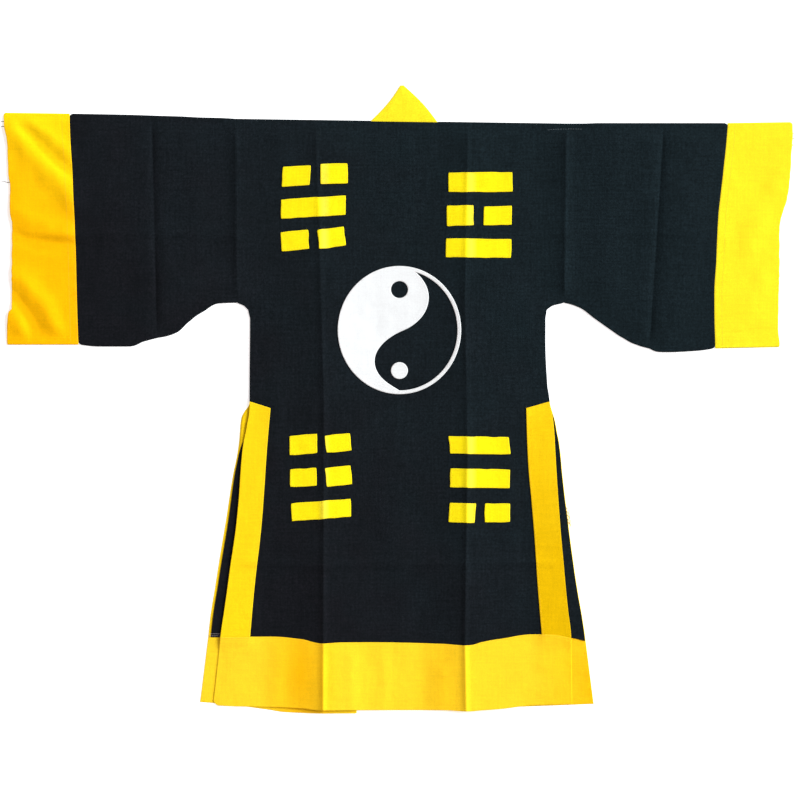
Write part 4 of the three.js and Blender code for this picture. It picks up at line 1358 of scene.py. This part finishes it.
def collar_band():
    left, right = collar_side("left"), collar_side("right")
    across = np.linspace(0, 1, NECK_ROWS)[1:-1, None, None]
    middle = mix(left[-1][None], right[-1][None], across)
    rows = np.concatenate([left, middle, right[::-1]])
    columns = shares(COLLAR_WIDTH)
    grid = mix(rows[:, :1], rows[:, 1:], columns[None, :, None])
    back = grid[len(left):len(left) + len(middle)]
    swell = np.sin(math.pi * across[:, 0]) * np.sin(math.pi * columns)[None]
    ripple = (1 + waves(back[..., 0], back[..., 1], COLLAR_PUFF["size"], COLLAR_PUFF["seed"])) / 2
    back[..., 2] += COLLAR_PUFF["height"] * swell * ripple
    neck_y = left[-1, 0, 1]
    up = np.clip((grid[..., 1] - neck_y) / (COLLAR["tip_y"] - neck_y), 0, 1)
    grid[..., 0] += COLLAR["bow"] * np.sin(math.pi * up)
    neck = [
        ends[-1, 0, :2] + (sign * NECK_INSET, STITCH_INSET) for ends, sign in ((left, 1), (right, -1))
    ]
    sewing = stitches("stitches_collar", [neck], lambda x, y: np.full(len(x), 2 * ROLL), yellow_thread)
    length = sum(np.linalg.norm(np.diff((rows[:, 0] + rows[:, 1]) / 2, axis=0), axis=1))
    cloth_grid(
        "collar_band", grid, pale, [floor], flat=(COLLAR_WIDTH * MM, length * MM), sewing=[sewing],
    )


# Taiji and trigrams

def turned(length, degrees):
    return np.array([math.cos(math.radians(degrees)), math.sin(math.radians(degrees))]) * length


def bar(name, x, y, width, height, tilt, lean):
    width, height = width - BAR_TURNING["width"], height - BAR_TURNING["height"]
    place = np.array([x, y])
    along, across = turned(width / 2, tilt), turned(height / 2, lean + 90)
    parts = [steps([-size / 2, size / 2], FINE_STEP) / (size / 2) for size in (width, height)]
    u, v = parts[0][None, :, None], parts[1][:, None, None]
    corner = BAR_CORNER["pull"] * np.abs(u * v) ** BAR_CORNER["power"]
    flat = place + u * along * (1 - corner / width) + v * across * (1 - corner / height)
    for axis in (0, 1):
        shifted = flat[..., 0] + BAR_WOBBLE["shift"] * axis
        drift = waves(shifted, flat[..., 1], BAR_WOBBLE["size"], BAR_WOBBLE["seed"])
        flat[..., axis] += BAR_WOBBLE["reach"] * drift
    inset_u, inset_v = [1 - 2 * STITCH_INSET / size for size in (width, height)]
    outline = [place + a * inset_u * along + b * inset_v * across for a, b in BAR_OUTLINE]
    sewing = stitches("stitches_bar_" + name, [outline], on_top(sewn_height, APPLIQUE), yellow_thread)
    cloth_grid(
        "bar_" + name, raised(flat, sewn_height), lemon_with_highlights, ["cloth_back_panel"],
        thickness=APPLIQUE, flat=(width * MM, height * MM), sewing=[sewing],
    )


def ellipse(x, y, radius_x, radius_y, count, start=0.0, end=2 * math.pi):
    angles = np.linspace(start, end, count, endpoint=False)
    return line(x + np.cos(angles) * radius_x, y + np.sin(angles) * radius_y)


def taiji_circle(kind, count, inset=0):
    """The hole in the white half or the dot in the dark half, made smaller by an inset."""
    radius = TAIJI[kind + "_radius"] - inset
    return ellipse(TAIJI["x"], TAIJI["y"] + TAIJI[kind + "_y"], radius, radius, count)


def taiji_dark():
    """Outline of the dark half: down inside the ring on the right, then up along the line."""
    centre = np.array([TAIJI["x"], TAIJI["y"]])
    inside_x, inside_y = TAIJI["radius_x"] - TAIJI["ring"], TAIJI["radius_y"] - TAIJI["ring"]
    start = math.acos(TAIJI["tail_x"] / inside_x)
    outline = [ellipse(*centre, inside_x, inside_y, TAIJI_POINTS["ring"], start, -math.pi / 2)]
    at = np.array([0.0, -inside_y])
    t = np.linspace(0, 1, TAIJI_POINTS["curve"], endpoint=False)[:, None]
    handles = [line(TAIJI_LINE["x" + end], TAIJI_LINE["y" + end]) for end in ("1", "2", "")]
    for first, second, end in zip(*handles):
        route = (1 - t)**3 * at + 3 * t * (1 - t)**2 * first + 3 * t**2 * (1 - t) * second + t**3 * end
        outline.append(centre + route)
        at = end
    return np.concatenate(outline)


def inside(points, loops):
    """Whether each point is inside an odd number of the loops."""
    odd = np.zeros(len(points), bool)
    x, y = points[:, 0], points[:, 1]
    for loop in loops:
        for (ax, ay), (bx, by) in zip(loop, np.roll(loop, -1, axis=0)):
            if ay != by:
                crosses = (ay > y) != (by > y)
                odd ^= crosses & (x < ax + (y - ay) * (bx - ax) / (by - ay))
    return odd


def closed(loop):
    return np.append(loop, loop[:1], axis=0)


def filled(loops, size):
    """Triangles that fill the space inside the first loop and outside the others."""
    corners = np.concatenate(loops)
    edges, start = [], 0
    for loop in loops:
        edges += [(start + i, start + (i + 1) % len(loop)) for i in range(len(loop))]
        start += len(loop)
    low, high = corners.min(axis=0), corners.max(axis=0)
    x, y = np.meshgrid(
        np.arange(low[0], high[0], size), np.arange(low[1], high[1], size * LATTICE["row"]),
    )
    x[1::2] += size / 2
    points = line(x.ravel(), y.ravel())
    points = points[inside(points, loops)]
    clear = np.minimum.reduce([beside(closed(loop), *points.T)[0] for loop in loops])
    points = points[clear > size * LATTICE["clear"]]
    rim = np.concatenate([inset_loop(loop, RIM_LINES[0] * STEP) for loop in loops])
    rim = rim[inside(rim, loops)]
    everything = np.concatenate([corners, rim, points]).tolist()
    found, _, faces, *_ = delaunay_2d_cdt(everything, edges, [], 0, SAME_POINT)
    found = np.array([list(point) for point in found])
    faces = np.array([face for face in faces if len(face) == 3])
    return found, faces[inside(found[faces].mean(axis=1), loops)]


def inset_loop(loop, distance):
    """The loop's own points, moved to both sides of it by a distance."""
    along = unit(np.roll(loop, -1, axis=0) - np.roll(loop, 1, axis=0))
    aside = line(along[:, 1], -along[:, 0]) * distance
    return np.concatenate([loop + aside, loop - aside])


def applique(node, loops, stitches_name, seams):
    """White cloth inside the first loop and outside the others, sewn on along its seams."""
    flat, faces = filled(loops, APPLIQUE_STEP)
    top = on_top(sewn_height, APPLIQUE)
    sewing = stitches(stitches_name, seams, top, white_thread, **TAIJI_STITCH)
    cloth(
        node, raised(flat, sewn_height), faces, white, ["cloth_back_panel"],
        thickness=APPLIQUE, sewing=[sewing],
    )


def taiji():
    rim = ellipse(TAIJI["x"], TAIJI["y"], TAIJI["radius_x"], TAIJI["radius_y"], TAIJI_POINTS["rim"])
    hole, dot = [taiji_circle(kind, TAIJI_POINTS["circle"]) for kind in ("hole", "dot")]
    dark = taiji_dark()
    seams = []
    for loop in (rim, hole, dark):
        both = inset_loop(loop, TAIJI_RUNS["inset"])
        kept = both[inside(both, [rim, hole, dark])]
        apart = np.linalg.norm(np.diff(kept, axis=0), axis=1)
        runs = np.split(kept, np.where(apart > TAIJI_RUNS["break"])[0] + 1)
        seams += [run for run in runs if len(run) >= TAIJI_RUNS["least"]]
    applique("taiji_white", [rim, dark, hole], "stitches_taiji", seams)
    dot_line = taiji_circle("dot", TAIJI_POINTS["dot_line"], TAIJI_RUNS["inset"])
    applique("taiji_dot", [dot], "stitches_dot", [closed(dot_line)])


for side in INWARD:
    slit_band_front(side)
    front_panel(side)
    hem_front(side)
back_panel()
hem_back()
slit_band_back("left", yellow)
slit_band_back("right", shaded)
for side in INWARD:
    sleeve(side)
cuff("left", lit_and_shaded_cuff)
cuff("right", pale)
collar_band()
taiji()
for row in BARS:
    bar(**row)


# Camera, light and finish

def make_camera():
    data = bpy.data.cameras.new("camera")
    data.sensor_width = VIEW["sensor"] * 1000
    data.lens = data.sensor_width * VIEW["distance"] / VIEW["width"]
    data.clip_end = VIEW["far"]
    camera = bpy.data.objects.new("camera", data)
    camera.location = (VIEW["x"], VIEW["y"], VIEW["distance"])
    bpy.context.scene.collection.objects.link(camera)
    bpy.context.scene.camera = camera


def make_lights():
    sun = bpy.data.lights.new("window", "SUN")
    sun.energy = SUN["strength"]
    sun.angle = math.radians(SUN["softness"])
    sun.color = SUN["colour"]
    lamp = bpy.data.objects.new("window", sun)
    lamp.rotation_euler = (0, math.radians(90 - SUN["elevation"]), math.radians(SUN["azimuth"]))
    bpy.context.scene.collection.objects.link(lamp)
    world = bpy.data.worlds.new("room")
    world.use_nodes = True
    background = world.node_tree.nodes["Background"]
    background.inputs["Color"].default_value = (*ROOM["colour"], 1)
    background.inputs["Strength"].default_value = ROOM["strength"]
    bpy.context.scene.world = world
    bpy.context.scene.view_settings.view_transform = "Standard"
    bpy.context.scene.view_settings.look = "None"


make_lights()
make_camera()
